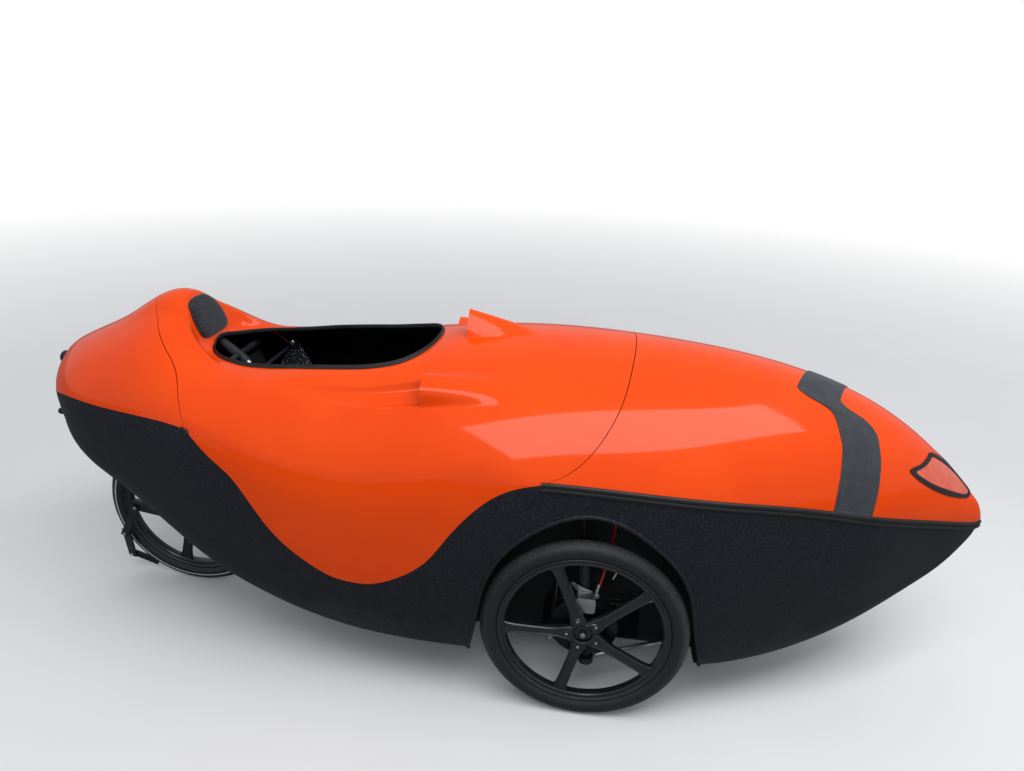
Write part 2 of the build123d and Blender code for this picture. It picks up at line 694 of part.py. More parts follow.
pairs = (("knuckle", make_knuckle()), ("caliper", make_caliper()), ("strut_top", make_strut_top()),
         ("lower_arm", make_lower_arm()), ("radius_rod", make_radius_rod()),
         ("brake_hose", make_brake_hose()))
for name, left in pairs:
    save(f"{name}_left", left)
    save(f"{name}_right", mirror(left, about=Plane.XZ))
save("track_rod", make_track_rod())
save("swingarm", make_swingarm())
save("seat", make_seat(inside))
save("seat_bar", make_seat_bar())
save("rim_trim", *make_rim_trim())
save("nose_strap", make_strap())
save("cockpit_lip", make_cockpit_lip())
save("head_pad", make_head_pad())
frame_left = make_lamp(-3, -SEAT_GAP, 0.0) - make_lamp(-4, 1, 0.3)
lens_left = make_lamp(-2, -SEAT_GAP, 0.32)
save("lamp_frames", frame_left, mirror(frame_left, about=Plane.XZ))
save("lamp_lenses", lens_left, mirror(lens_left, about=Plane.XZ))
tail_body = loft_rows([whole_wire(row, -SEAT_GAP) for row in (SECTIONS[0], TAIL_END)])
tail_body += loft_rows([whole_wire(row, -SEAT_GAP) for row in SECTIONS])
save("tail_lamp", Pos(-1198, 0, 672) * Box(36, 30, 34) - tail_body)
save("tail_latch", Pos(-1212, 0, 560) * Box(30, 18, 20) - tail_body)
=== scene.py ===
# %% [markdown]
# # A velomobile: the shell of a faired tricycle, its wheels and its cockpit
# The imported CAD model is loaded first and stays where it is. It gives every place in this file:
# the axles, the housings, the seat. The looks are then built round it, piece by piece.

# %% Load the frame
import bmesh
import bpy
import json
import math
import numpy as np
from mathutils import Matrix, Vector

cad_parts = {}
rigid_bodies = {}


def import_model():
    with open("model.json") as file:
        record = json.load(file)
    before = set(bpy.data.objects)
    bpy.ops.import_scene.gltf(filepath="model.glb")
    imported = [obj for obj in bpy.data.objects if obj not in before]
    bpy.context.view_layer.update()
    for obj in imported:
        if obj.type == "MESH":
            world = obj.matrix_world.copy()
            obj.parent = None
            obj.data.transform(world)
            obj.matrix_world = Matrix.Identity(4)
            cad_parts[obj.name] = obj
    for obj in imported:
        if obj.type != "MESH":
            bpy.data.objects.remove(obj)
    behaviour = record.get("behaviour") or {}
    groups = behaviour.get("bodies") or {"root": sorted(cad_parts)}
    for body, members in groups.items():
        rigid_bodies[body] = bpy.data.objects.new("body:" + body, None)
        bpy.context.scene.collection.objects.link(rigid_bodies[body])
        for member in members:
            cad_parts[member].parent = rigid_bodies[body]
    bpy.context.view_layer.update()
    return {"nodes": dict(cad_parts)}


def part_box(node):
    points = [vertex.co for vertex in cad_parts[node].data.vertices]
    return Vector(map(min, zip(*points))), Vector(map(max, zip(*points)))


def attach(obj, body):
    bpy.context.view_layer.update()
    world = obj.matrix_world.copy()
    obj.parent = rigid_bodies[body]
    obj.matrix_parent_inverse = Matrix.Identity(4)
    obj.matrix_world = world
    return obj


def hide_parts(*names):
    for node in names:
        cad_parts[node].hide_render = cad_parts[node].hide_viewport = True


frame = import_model()

# %% [markdown]
# The shell is drawn in millimetres, with X forward, Y to the rider's left and Z up from the ground.
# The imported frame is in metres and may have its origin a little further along, so one front wheel
# tells how far the drawing has to be moved.

# %% Millimetres of the drawing to metres of the frame
FRONT_AXLE_X, REAR_AXLE_X = 262.0, -877.0
HALF_TRACK, TYRE_RADIUS = 326.0, 245.0
wheel_low, wheel_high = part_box("front_tyre_left")
SHIFT_X = (wheel_low.x + wheel_high.x) / 2 - FRONT_AXLE_X / 1000


def metres(points):
    """Drawing millimetres to frame metres, for an array of points."""
    moved = np.asarray(points, float) / 1000
    moved[..., 0] += SHIFT_X
    return moved


print("the drawing moves forward by", round(SHIFT_X * 1000, 2), "mm")

# %% [markdown]
# ## Mesh helpers
# Every piece of the shell comes from arrays of points and triangles. Its shading normals are worked
# out from the surface itself, because a glossy shell shows each wrong normal as a dent.

# %% Make an object from points and faces
def make_piece(name, points, faces, body, materials, normals=None, smooth_angle=35.0):
    """A mesh in frame metres that rides on a CAD body. normals, if given, is one per face corner."""
    mesh = bpy.data.meshes.new(name)
    mesh.from_pydata([tuple(p) for p in points], [], [tuple(int(i) for i in f) for f in faces])
    mesh.validate()
    piece = bpy.data.objects.new(name, mesh)
    bpy.context.scene.collection.objects.link(piece)
    for material in materials:
        mesh.materials.append(material)
    mesh.shade_smooth()
    if normals is not None and len(mesh.loops) == len(normals):
        mesh.normals_split_custom_set(normals)
    elif smooth_angle:
        mesh.set_sharp_from_angle(angle=math.radians(smooth_angle))
    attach(piece, body)
    return piece


# %% [markdown]
# ## Materials
# Colours are written as sRGB hex, the way a paint chip is measured on a screen. Blender mixes light
# in linear values, so one function turns them over.

# %% Colour and node helpers
def linear(hex_colour):
    """sRGB hex to linear RGBA."""
    parts = [int(hex_colour[i:i + 2], 16) / 255 for i in (1, 3, 5)]
    return [c / 12.92 if c <= 0.04045 else ((c + 0.055) / 1.055) ** 2.4 for c in parts] + [1.0]


def per_mm(size):
    """Scale of a texture whose features are size millimetres across."""
    return 1000.0 / size


def join(tree, value, socket):
    """Gives a socket a plain value, or another node's output."""
    if isinstance(value, bpy.types.NodeSocket):
        tree.links.new(value, socket)
    else:
        socket.default_value = value


def add(tree, kind, settings=None, **inputs):
    """Adds one node. Its inputs go by name, or by number as i0, i1 and so on."""
    node = tree.nodes.new("ShaderNode" + kind)
    for key, value in (settings or {}).items():
        setattr(node, key, value)
    for key, value in inputs.items():
        by_number = key[0] == "i" and key[1:].isdigit()
        join(tree, value, node.inputs[int(key[1:]) if by_number else key.replace("_", " ")])
    return node


BANDS_PER_SCALE = 3.14  # bands in a metre of a wave texture whose scale is 1


class Paint:
    """A Principled material drawn in nodes. Its patterns are measured in millimetres."""

    def __init__(self, name, **sockets):
        self.material = bpy.data.materials.new(name)
        self.material.use_nodes = True
        self.tree = self.material.node_tree
        self.shader = self.tree.nodes["Principled BSDF"]
        for key, value in sockets.items():
            self.shader.inputs[key.replace("_", " ")].default_value = value
        coordinates = self.add("TexCoord")
        self.place, self.uv = coordinates.outputs["Object"], coordinates.outputs["UV"]

    def add(self, kind, settings=None, **inputs):
        return add(self.tree, kind, settings, **inputs)

    def noise(self, size, detail):
        return self.add("TexNoise", None, Vector=self.place, Scale=per_mm(size), Detail=detail).outputs[0]

    def bands(self, pitch, way, vector=None, **more):
        """Stripes that follow each other along way, one every pitch."""
        scale = per_mm(pitch) / BANDS_PER_SCALE
        return self.add("TexWave", {"bands_direction": way}, Vector=vector or self.place, Scale=scale,
                        **more).outputs[1]

    def maths(self, operation, *values):
        inputs = {f"i{number}": value for number, value in enumerate(values)}
        return self.add("Math", {"operation": operation}, **inputs).outputs[0]

    def blend(self, share, first, second):
        """A colour between two, each a hex colour or an output."""
        first, second = (linear(c) if isinstance(c, str) else c for c in (first, second))
        return self.add("Mix", {"data_type": "RGBA"}, Factor=share, i6=first, i7=second).outputs[2]

    def ramp(self, factor, stops):
        """A colour ramp. stops is a list of (position, hex colour)."""
        node = self.add("ValToRGB", Fac=factor)
        elements = node.color_ramp.elements
        while len(elements) > 1:
            elements.remove(elements[-1])
        for number, (place, colour) in enumerate(stops):
            stop = elements[0] if number == 0 else elements.new(place)
            stop.position = place
            stop.color = linear(colour)
        return node.outputs[0]

    def to_range(self, value, low, high, new_low, new_high):
        return self.add("MapRange", None, Value=value, From_Min=low, From_Max=high, To_Min=new_low,
                        To_Max=new_high).outputs[0]

    def shade(self, colour, rough, height, strength, distance, **settings):
        """Joins colour, roughness and relief to the shader. distance is the relief's height in metres."""
        bump = self.add("Bump", settings, Strength=strength, Distance=distance, Height=height)
        for value, name in ((colour, "Base Color"), (rough, "Roughness"), (bump.outputs[0], "Normal")):
            join(self.tree, value, self.shader.inputs[name])
        return self.material


# %% [markdown]
# ### Gelcoat
# The orange panels are glass-fibre laminate with a glossy pigmented gelcoat, waxed and polished. A
# clear coat over a slightly rough base gives the deep colour with a sharp reflection on top. Dust
# settles on it in fine specks, and the polish is a little uneven over a hand's width.

# %% Orange gelcoat
def gelcoat():
    paint = Paint("orange_gelcoat", Coat_Weight=0.5, Coat_Roughness=0.06, Coat_IOR=1.5, IOR=1.5,
                  Specular_IOR_Level=0.05)
    cloud, specks = paint.noise(240, 3.0), paint.noise(3.0, 4.0)
    colour = paint.ramp(cloud, [(0.30, "#F84800"), (0.70, "#FF5000")])
    dust = paint.ramp(specks, [(0.0, "#000000"), (0.66, "#000000"), (0.80, "#FFFFFF")])
    rough = paint.to_range(cloud, 0.3, 0.7, 0.26, 0.36)
    return paint.shade(paint.blend(dust, colour, "#F6743A"), rough, cloud, 0.02, 0.0004)


ORANGE = gelcoat()
print("made", ORANGE.name)

# %% [markdown]
# ### Textured black laminate
# The tub is painted with a rough, rubbery protective coat over laminate. It is a blue-black with a
# leathery grain of about 3 mm, worn paler on the ridges and dusty toward the ground.

# %% Black tub coat
def tub_coat():
    paint = Paint("textured_tub_coat", IOR=1.5, Specular_IOR_Level=0.25)
    grain = paint.add("TexVoronoi", {"feature": "SMOOTH_F1"}, Vector=paint.place, Scale=per_mm(4.0),
                      Smoothness=0.6).outputs[0]
    fine, patches = paint.noise(5.0, 6.0), paint.noise(160, 4.0)
    colour = paint.ramp(fine, [(0.30, "#12151B"), (0.55, "#1B1F26"), (0.78, "#343840")])
    height = paint.add("SeparateXYZ", None, Vector=paint.place).outputs[2]
    dirt = paint.maths("MULTIPLY", paint.to_range(height, 0.10, 0.42, 1.0, 0.0), patches)
    dusty = paint.blend(paint.to_range(dirt, 0.25, 0.75, 0.0, 0.3), colour, "#6B6660")
    rough = paint.to_range(fine, 0.3, 0.7, 0.42, 0.62)
    return paint.shade(dusty, rough, paint.maths("ADD", grain, fine), 0.55, 0.0012)


TUB_BLACK = tub_coat()
print("made", TUB_BLACK.name)

# %% Raw laminate, for the inside
def raw_laminate():
    """Black-pigmented woven laminate, seen on the inside of the shell: a soft sheen and a weave."""
    paint = Paint("raw_laminate", IOR=1.5, Specular_IOR_Level=0.25)
    across, along = (paint.bands(12 / BANDS_PER_SCALE, way, Distortion=1.5) for way in "XZ")
    weave = paint.maths("MAXIMUM", across, along)
    colour = paint.ramp(weave, [(0.3, "#101113"), (1.0, "#1D1F22")])
    return paint.shade(colour, paint.to_range(weave, 0.0, 1.0, 0.62, 0.5), weave, 0.2, 0.0006)


LAMINATE = raw_laminate()

# %% [markdown]
# ## The shell's surface
# The body is one smooth surface, as it is on the real moulds. Each row below is one section with
# its own few sizes, and a smooth curve runs through every column from tail to nose. A point on the
# surface has two coordinates: x along the body, and t round the section, from 0 on top over 0.3 at
# the soft crease, 0.6 at the widest line and 0.8 at the bilge to 1 under the floor.

# %% Sections
# x, top, crease_y, crease_z, rim_y, rim_z, low_y, bilge, floor
SECTIONS = np.array([
    (-1198, 654, 16, 648, 30, 610, 26, 16, 552), (-1168, 700, 40, 684, 80, 620, 68, 42, 524),
    (-1096, 757, 76, 736, 160, 645, 153, 98, 457), (-960, 827, 90, 799, 231, 657, 223, 140, 377),
    (-796, 888, 86, 847, 280, 661, 273, 166, 277), (-690, 806, 128, 778, 308, 656, 300, 168, 215),
    (-560, 797, 160, 770, 336, 624, 321, 160, 163), (-300, 814, 172, 786, 362, 576, 346, 110, 128),
    (0, 852, 136, 830, 370, 628, 356, 98, 125),
    (260, 860, 132, 836, 366, 638, 350, 95, 125), (520, 844, 130, 812, 336, 618, 326, 98, 125),
    (740, 804, 118, 772, 258, 578, 248, 105, 133), (920, 738, 90, 706, 188, 534, 180, 95, 203),
    (1060, 645, 54, 620, 108, 494, 102, 60, 283), (1150, 562, 30, 544, 56, 468, 52, 32, 355),
    (1205, 505, 12, 496, 18, 450, 15, 10, 420)], float)
NOSE_TIP_X, TAIL_TIP_X = 1220.0, -1186.0
# where the ends begin to close, and the height of the point they close on
NOSE_CLOSE_X, TAIL_CLOSE_X = 1196.0, -1160.0
NOSE_TIP_Z, TAIL_TIP_Z = 456.0, 607.0
T_CREASE, T_RIM, T_LOW, T_BILGE = 0.3, 0.6, 0.8, 0.9


def smooth_curve(knots, values):
    """Natural cubic spline through the knots, straight beyond them. Returns a function of x."""
    knots, values = np.asarray(knots, float), np.asarray(values, float)
    n, h = len(knots), np.diff(knots)
    system, right = np.eye(n), np.zeros(n)
    for i in range(1, n - 1):
        system[i, i - 1:i + 2] = h[i - 1], 2 * (h[i - 1] + h[i]), h[i]
        right[i] = 6 * ((values[i + 1] - values[i]) / h[i] - (values[i] - values[i - 1]) / h[i - 1])
    bend = np.linalg.solve(system, right)
    ends = [(values[1] - values[0]) / h[0] - h[0] * bend[1] / 6,
            (values[-1] - values[-2]) / h[-1] + h[-1] * bend[-2] / 6]

    def curve(x):
        x = np.asarray(x, float)
        i = np.clip(np.searchsorted(knots, x) - 1, 0, n - 2)
        a, b = knots[i + 1] - x, x - knots[i]
        inside = (bend[i] * a ** 3 + bend[i + 1] * b ** 3) / (6 * h[i]) \
            + (values[i] / h[i] - bend[i] * h[i] / 6) * a \
            + (values[i + 1] / h[i] - bend[i + 1] * h[i] / 6) * b
        out = np.where(x < knots[0], values[0] + ends[0] * (x - knots[0]), inside)
        return np.where(x > knots[-1], values[-1] + ends[1] * (x - knots[-1]), out)

    return curve


columns = [smooth_curve(SECTIONS[:, 0], SECTIONS[:, k]) for k in range(1, 9)]
rim_height = columns[4]


# %% [markdown]
# One half section is five arcs and lines. The mould's edges are never quite sharp, so the surface
# is the average of nearby points of that outline, taken over a wider stretch where the real edge is
# softer: along the crease everywhere, and along the widest line only behind the front wheels.

# %% One section
def arc_through(a, b, share, s):
    """Point at s from 0 to 1 on an arc from a to b that bows out by a share of the chord."""
    chord = b - a
    out = np.stack([-chord[..., 1], chord[..., 0]], -1)
    out *= np.sign(out[..., :1] + 1e-9)
    s = s[..., None]
    return a + chord * s + out * (4 * share * s * (1 - s))


def outline(x, t):
    """(y, z) of the plain section at x, for t from -1 to 1."""
    top, crease_y, crease_z, rim_y, rim_z, low_y, bilge, floor = [c(x) for c in columns]
    a = np.clip(np.abs(t), 0, 1)
    crease = np.stack([crease_y, crease_z], -1)
    rim = np.stack([rim_y, rim_z], -1)
    low = np.stack([low_y, floor + bilge], -1)
    s = np.clip(a / T_CREASE, 0, 1)
    crown = np.stack([crease_y * s, top - (top - crease_z) * s ** 2], -1)
    side = arc_through(crease, rim, 0.10, np.clip((a - T_CREASE) / (T_RIM - T_CREASE), 0, 1))
    flank = arc_through(rim, low, 0.03, np.clip((a - T_RIM) / (T_LOW - T_RIM), 0, 1))
    turn = np.clip((a - T_LOW) / (T_BILGE - T_LOW), 0, 1) * math.pi / 2
    round_part = np.stack([low_y - bilge + bilge * np.cos(turn), floor + bilge - bilge * np.sin(turn)], -1)
    s = np.clip((a - T_BILGE) / (1 - T_BILGE), 0, 1)
    under = np.stack([(low_y - bilge) * (1 - s), floor + 0 * s], -1)
    pick = a[..., None]
    out = np.where(pick < T_CREASE, crown, np.where(pick < T_RIM, side, np.where(
        pick < T_LOW, flank, np.where(pick < T_BILGE, round_part, under))))
    out[..., 0] *= np.where(t < 0, -1.0, 1.0)
    return out


def softness(x, t):
    """How far in t the outline is averaged, each way."""
    near_crease = np.exp(-((np.abs(t) - T_CREASE) / 0.10) ** 2) * np.clip((1150 - x) / 500, 0.35, 1) * 0.075
    behind = 1 / (1 + np.exp((x - 70) / 22))
    near_rim = np.exp(-((np.abs(t) - T_RIM) / 0.10) ** 2) * (0.008 + 0.07 * behind)
    top = 0.05 * np.exp(-(t / 0.12) ** 2)
    return near_crease + near_rim + top


def soft_outline(x, t):
    """(y, z) of the section with its edges softened: a weighted mean of nearby points."""
    width = softness(x, t)
    steps = np.linspace(-1, 1, 9)
    weights = (1 - steps ** 2) ** 1.5 + 0.02
    total = 0
    for step, weight in zip(steps, weights / weights.sum()):
        total = total + weight * outline(x, t + width * step)
    return total


# %% [markdown]
# The deck round the cockpit is lower than the crown. Behind the rider it climbs steeply into the
# hollow face of the head fairing, which also sweeps forward at its sides. The surface is the lower
# of crown and deck, with a rounded edge where they meet.

# %% Deck and head fairing
DECK = [(-830, 990), (-812, 930), (-800, 892), (-788, 868), (-775, 850), (-752, 799), (-744, 775),
        (-730, 763), (-700, 758), (-640, 757), (-560, 762), (-450, 772), (-300, 788), (-215, 804),
        (-165, 822), (-120, 843), (-60, 872), (0, 905)]
DECK_X, DECK_Z = np.array(DECK, float).T
EDGE_SOFT = 15.0  # mm, rounding of the fairing's edge
# the fairing's sides sweep forward outside this half width, and behind this place
SWEEP_Y, SWEEP_WIDTH, SWEEP_X, SWEEP_RUN, SWEEP_BEND = 72, 115, -470, 180, 0.0108


def deck_height(x, y):
    """Height of the deck and of the fairing's face, eased along x."""
    aside = np.clip(np.abs(y) - SWEEP_Y, 0, SWEEP_WIDTH)
    side_sweep = SWEEP_BEND * aside ** 2 * np.clip((SWEEP_X - x) / SWEEP_RUN, 0, 1)
    return sum(weight * np.interp(x - side_sweep + step, DECK_X, DECK_Z)
               for step, weight in ((-14, 0.1), (-7, 0.2), (0, 0.4), (7, 0.2), (14, 0.1)))


def lower_of(a, b, soft):
    """The lower of two heights, with a rounded corner."""
    gap = np.clip(0.5 + 0.5 * (b - a) / soft, 0, 1)
    return b + (a - b) * gap - soft * gap * (1 - gap)


# %% [markdown]
# Three scoops let air out of the cabin. The one on top is a wedge with its mouth to the rear. The
# two on the flanks are half-round bulges that end in a sharp edge, with a hollow behind it that
# leads the air away. Each is a push along the surface that stops at its mouth.

# %% Scoops
MOUTH_X, TOP_MOUTH_X = -143.0, -79.0
BULGE_RUN, HOLLOW_RUN, WEDGE_RUN = 215, 325, 168
BULGE_HEIGHT, HOLLOW_DEPTH, WEDGE_HEIGHT = 33, 15, 59
# a flank scoop pushes the surface outward and upward
PUSH_OUT, PUSH_UP = 0.62, 0.78
DECK_REAR_X, DECK_FRONT_X = -840, -20


def bell(value, reach):
    """1 in the middle, 0 from reach outward, smooth."""
    s = np.clip(1 - (value / reach) ** 2, 0, 1)
    return s * s * (3 - 2 * s)


def flank_push(x, t):
    """How far the flank stands out, in mm."""
    a = np.abs(t)
    ahead = np.clip((x - MOUTH_X) / BULGE_RUN, 0, 1)
    bulge = BULGE_HEIGHT * (1 - ahead) ** 1.15 * (1 - ahead ** 3) \
        * bell(a - (0.372 + 0.032 * ahead), 0.052 - 0.014 * ahead)
    back = np.clip((MOUTH_X - x) / HOLLOW_RUN, 0, 1)
    hollow = -HOLLOW_DEPTH * (1 - back) ** 1.1 * bell(a - (0.382 - 0.010 * back), 0.038 - 0.020 * back)
    return np.where(x > MOUTH_X, bulge, hollow)


def top_lift(x, y):
    """Height of the wedge on the crown, in mm."""
    run = np.clip((x - TOP_MOUTH_X) / WEDGE_RUN, 0, 1)
    across = np.clip(1 - (np.abs(y) / (46 - 8 * run)) ** 1.7, 0, 1)
    return np.where((x > TOP_MOUTH_X) & (run < 1), WEDGE_HEIGHT * (1 - run) ** 1.05 * across, 0)


def surface(x, t):
    """Points of the outer surface, in drawing millimetres."""
    x, t = np.asarray(x, float), np.asarray(t, float)
    end = np.clip((x - NOSE_CLOSE_X) / (NOSE_TIP_X - NOSE_CLOSE_X), 0, 1)
    stern = np.clip((TAIL_CLOSE_X - x) / (TAIL_CLOSE_X - TAIL_TIP_X), 0, 1)
    shrink = np.sqrt(np.clip(1 - np.maximum(end, stern) ** 2, 0, 1))
    yz = soft_outline(np.clip(x, TAIL_TIP_X, NOSE_TIP_X), t)
    y, z = yz[..., 0], yz[..., 1]
    middle = np.where(x > 0, NOSE_TIP_Z, TAIL_TIP_Z)
    y, z = y * shrink, middle + (z - middle) * shrink
    upper = np.abs(t) < T_RIM
    in_deck = upper & (x > DECK_REAR_X) & (x < DECK_FRONT_X)
    z = np.where(in_deck, lower_of(z, deck_height(x, y), EDGE_SOFT), z)
    z = z + np.where(upper, top_lift(x, y), 0)
    push = np.where(upper, flank_push(x, t), 0)
    out_y = np.where(t < 0, -1, 1) * PUSH_OUT
    return np.stack([x, y + push * out_y, z + push * PUSH_UP], -1)


def surface_normals(x, t):
    """Unit normals of the surface, outward, with one-sided steps so that a scoop's mouth stays sharp."""
    h = np.where(((x < MOUTH_X) & (x > MOUTH_X - 1)) | ((x < TOP_MOUTH_X) & (x > TOP_MOUTH_X - 1)), -0.4, 0.4)
    e = np.where(np.abs(t) > 0.9, -0.001, 0.001) * np.where(t < 0, -1, 1)
    here = surface(x, t)
    along = (surface(x + h, t) - here) / h[..., None]
    round_it = (surface(x, t + e) - here) / e[..., None]
    n = np.cross(along, round_it)
    return n / np.maximum(np.linalg.norm(n, axis=-1, keepdims=True), 1e-9)


test = surface(np.array([0.0, -800.0]), np.array([0.0, 0.0]))
print("top of the shell at 0 and at the head fairing:", test[:, 2].round(1))

# %% [markdown]
# ## Panels
# Each panel is cut out of the same surface, as the real ones are trimmed from mouldings of one plug.
# A fine net of triangles is laid over the surface and cut where a rule changes sign; the new points
# are then moved onto the surface again. A wall of real thickness is folded back from the cut edge.

# %% A net over the surface
NET_TAIL_X, NET_NOSE_X = -1164.0, 1180.0  # beyond these the columns crowd toward the tips
FACE_COLUMNS = (-842, -640, 2.5)  # from, to and step of the columns on the fairing's face
SCOOP_ROWS = (0.312, 0.44, 0.0022)  # the same in t, for the rows over the flank scoops


def crowded(start, tip, count):
    """Columns from start that come closer toward a tip, without the last one."""
    return [tip - (tip - start) * (1 - math.sin(a)) for a in np.linspace(0, math.pi / 2, count)[:-1]]


def net(x_low, x_high, step=9.0, t_low=-1.0, t_high=1.0, t_steps=220):
    """Columns along x, closer at the ends and double at a scoop's mouth, and rows round t."""
    xs = list(np.arange(max(x_low, NET_TAIL_X), min(x_high, NET_NOSE_X), step))
    if x_high > NET_NOSE_X:
        xs += crowded(NET_NOSE_X, NOSE_TIP_X, 14) + [NOSE_TIP_X - 0.02]
    if x_low < NET_TAIL_X:
        xs += crowded(NET_TAIL_X, TAIL_TIP_X, 12)[1:] + [TAIL_TIP_X + 0.02]
    if x_low < FACE_COLUMNS[0] < x_high:
        xs += list(np.arange(*FACE_COLUMNS))
    if x_low < TOP_MOUTH_X + 30 < x_high:
        xs += [MOUTH_X - 1e-3, MOUTH_X + 1e-3, TOP_MOUTH_X - 1e-3, TOP_MOUTH_X + 1e-3]
    xs = np.array(sorted(xs))
    keep = np.ones(len(xs), bool)
    for i in range(1, len(xs)):
        if xs[i] - xs[i - 1] < 0.8 and abs(xs[i] - xs[i - 1] - 2e-3) > 1e-4:
            keep[i if abs(xs[i] - MOUTH_X) > 0.01 and abs(xs[i] - TOP_MOUTH_X) > 0.01 else i - 1] = False
    xs = xs[keep]
    ts = np.linspace(t_low, t_high, t_steps + 1)
    if x_low < MOUTH_X < x_high and t_high < 1:
        fine = np.arange(*SCOOP_ROWS)
        ts = ts[(np.abs(ts) < SCOOP_ROWS[0] - 0.001) | (np.abs(ts) > SCOOP_ROWS[1] + 0.001)]
        ts = np.sort(np.concatenate([ts, fine, -fine]))
    x, t = np.meshgrid(xs, ts, indexing="ij")
    index = np.arange(x.size).reshape(x.shape)
    solid = np.diff(xs) > 5e-3
    a, b, c, d = index[:-1, :-1][solid], index[1:, :-1][solid], index[1:, 1:][solid], index[:-1, 1:][solid]
    faces = np.concatenate([np.stack([a.ravel(), c.ravel(), d.ravel()], -1),
                            np.stack([a.ravel(), b.ravel(), c.ravel()], -1)])
    return x.ravel(), t.ravel(), faces


def cut(x, t, faces, rule):
    """Keeps the part of the net where rule(x, t, point) is positive."""
    value = rule(x, t, surface(x, t))
    inside = value > 0
    count = inside[faces].sum(1)
    kept = [faces[count == 3]]
    crossing = faces[(count > 0) & (count < 3)]
    cache, ends, start, polygons = {}, [], len(x), []

    def on_edge(i, j):
        key = (i, j) if inside[i] else (j, i)
        if key not in cache:
            cache[key] = start + len(ends)
            ends.append(key)
        return cache[key]

    for face in crossing.tolist():
        loop = []
        for i, j in zip(face, face[1:] + face[:1]):
            if inside[i]:
                loop.append(i)
            if inside[i] != inside[j]:
                loop.append(on_edge(i, j))
        polygons += [(loop[0], loop[k], loop[k + 1]) for k in range(1, len(loop) - 1)]
    if ends:
        pair = np.array(ends)
        low, high = np.zeros(len(pair)), np.ones(len(pair))
        xa, ta, dx, dt = x[pair[:, 0]], t[pair[:, 0]], np.diff(x[pair])[:, 0], np.diff(t[pair])[:, 0]
        for _ in range(14):
            middle = (low + high) / 2
            xm, tm = xa + dx * middle, ta + dt * middle
            good = rule(xm, tm, surface(xm, tm)) > 0
            low, high = np.where(good, middle, low), np.where(good, high, middle)
        x, t = np.append(x, xa + dx * low), np.append(t, ta + dt * low)
        kept.append(np.array(polygons))
    faces = np.concatenate(kept)
    used, flat = np.unique(faces, return_inverse=True)
    return x[used], t[used], flat.reshape(faces.shape)


# %% [markdown]
# A panel's wall: the outer skin, the same skin moved inward, and a strip between their edges. The
# outer skin shades with the surface's own normals, and the strip is flat.

# %% Wall of a panel
def panel(name, rules, wall, materials, slot, body="chassis", net_of=(-1400, 1400), inset=0.0, **extra):
    """Cuts a panel out of the net by its rules and gives it a wall. extra goes to the net."""
    x, t, faces = net(*net_of, **extra)
    for rule in rules:
        x, t, faces = cut(x, t, faces, rule)
    points, normals = surface(x, t), surface_normals(x, t)
    points = points - normals * inset
    _, first, same = np.unique(np.round(points, 2), axis=0, return_index=True, return_inverse=True)
    faces = same.ravel()[faces]
    points, normals = points[first], normals[first]
    faces = faces[(faces[:, 0] != faces[:, 1]) & (faces[:, 1] != faces[:, 2]) & (faces[:, 0] != faces[:, 2])]
    edges = np.concatenate([faces[:, [0, 1]], faces[:, [1, 2]], faces[:, [2, 0]]])
    code = np.sort(edges, 1) @ np.array([len(points), 1])
    _, back, uses = np.unique(code, return_inverse=True, return_counts=True)
    rim = edges[uses[back.ravel()] == 1]
    inner = points - normals * wall
    n = len(points)
    strip = np.concatenate([np.stack([rim[:, 1], rim[:, 0], rim[:, 0] + n], -1),
                            np.stack([rim[:, 1], rim[:, 0] + n, rim[:, 1] + n], -1)])
    every = np.concatenate([points, inner])
    all_faces = np.concatenate([faces, faces[:, ::-1] + n, strip])
    corner = np.concatenate([normals, -normals])[all_faces]
    a, b, c = (every[strip[:, k]] for k in range(3))
    flat = np.cross(b - a, c - a)
    flat /= np.maximum(np.linalg.norm(flat, axis=1, keepdims=True), 1e-9)
    corner[-len(strip):] = flat[:, None, :]
    piece = make_piece(name, metres(every), all_faces, body, materials, corner.reshape(-1, 3))
    if len(materials) > 1 and len(piece.data.polygons) == len(all_faces):
        kinds = np.zeros(len(all_faces), np.int32)
        kinds[len(faces):2 * len(faces)] = 1
        piece.data.polygons.foreach_set("material_index", kinds)
    print(name, len(all_faces), "triangles")
    return piece


# %% [markdown]
# ### Where the panels part
# The tail cover and the nose cover meet the middle shell along curves seen from the side. The
# orange bib of the middle shell hangs low between the wheels, and elsewhere orange meets black at
# the widest line.

# %% Seams
SEAM = 2.0
TAIL_SEAM = [(-900, 930), (-868, 868), (-827, 832), (-790, 802), (-750, 769), (-712, 710), (-679, 652),
             (-660, 560)]
NOSE_SEAM = [(110, 600), (142, 640), (176, 654), (212, 674), (242, 700), (269, 732), (293, 768), (311, 805),
             (323, 840), (329, 857), (335, 900)]
BIB = [(-690, 662), (-655, 633), (-610, 597), (-562, 561), (-520, 504), (-475, 440), (-430, 395), (-382, 361),
       (-334, 337), (-286, 329), (-235, 333), (-187, 353), (-139, 384), (-91, 433), (-58, 483), (-25, 529),
       (17, 576), (59, 609), (101, 629), (142, 640)]


def along_height(points):
    """x of a seam for each height."""
    points = sorted(points, key=lambda p: p[1])
    curve = smooth_curve([p[1] for p in points], [p[0] for p in points])
    return lambda z: curve(np.clip(z, points[0][1], points[-1][1]))


tail_x, nose_x = along_height(TAIL_SEAM), along_height(NOSE_SEAM)
bib_curve = smooth_curve([p[0] for p in BIB], [p[1] for p in BIB])


def lower_edge(x):
    """Height of the orange's lower edge."""
    inside = (x > BIB[0][0]) & (x < BIB[-1][0])
    return np.where(inside, bib_curve(x), rim_height(x))


def beside_joint(joint_x, way):
    """Rule that keeps what lies ahead of a joint (way 1) or behind it (way -1)."""
    return lambda x, t, p: way * (x - joint_x(p[..., 2])) - SEAM / 2


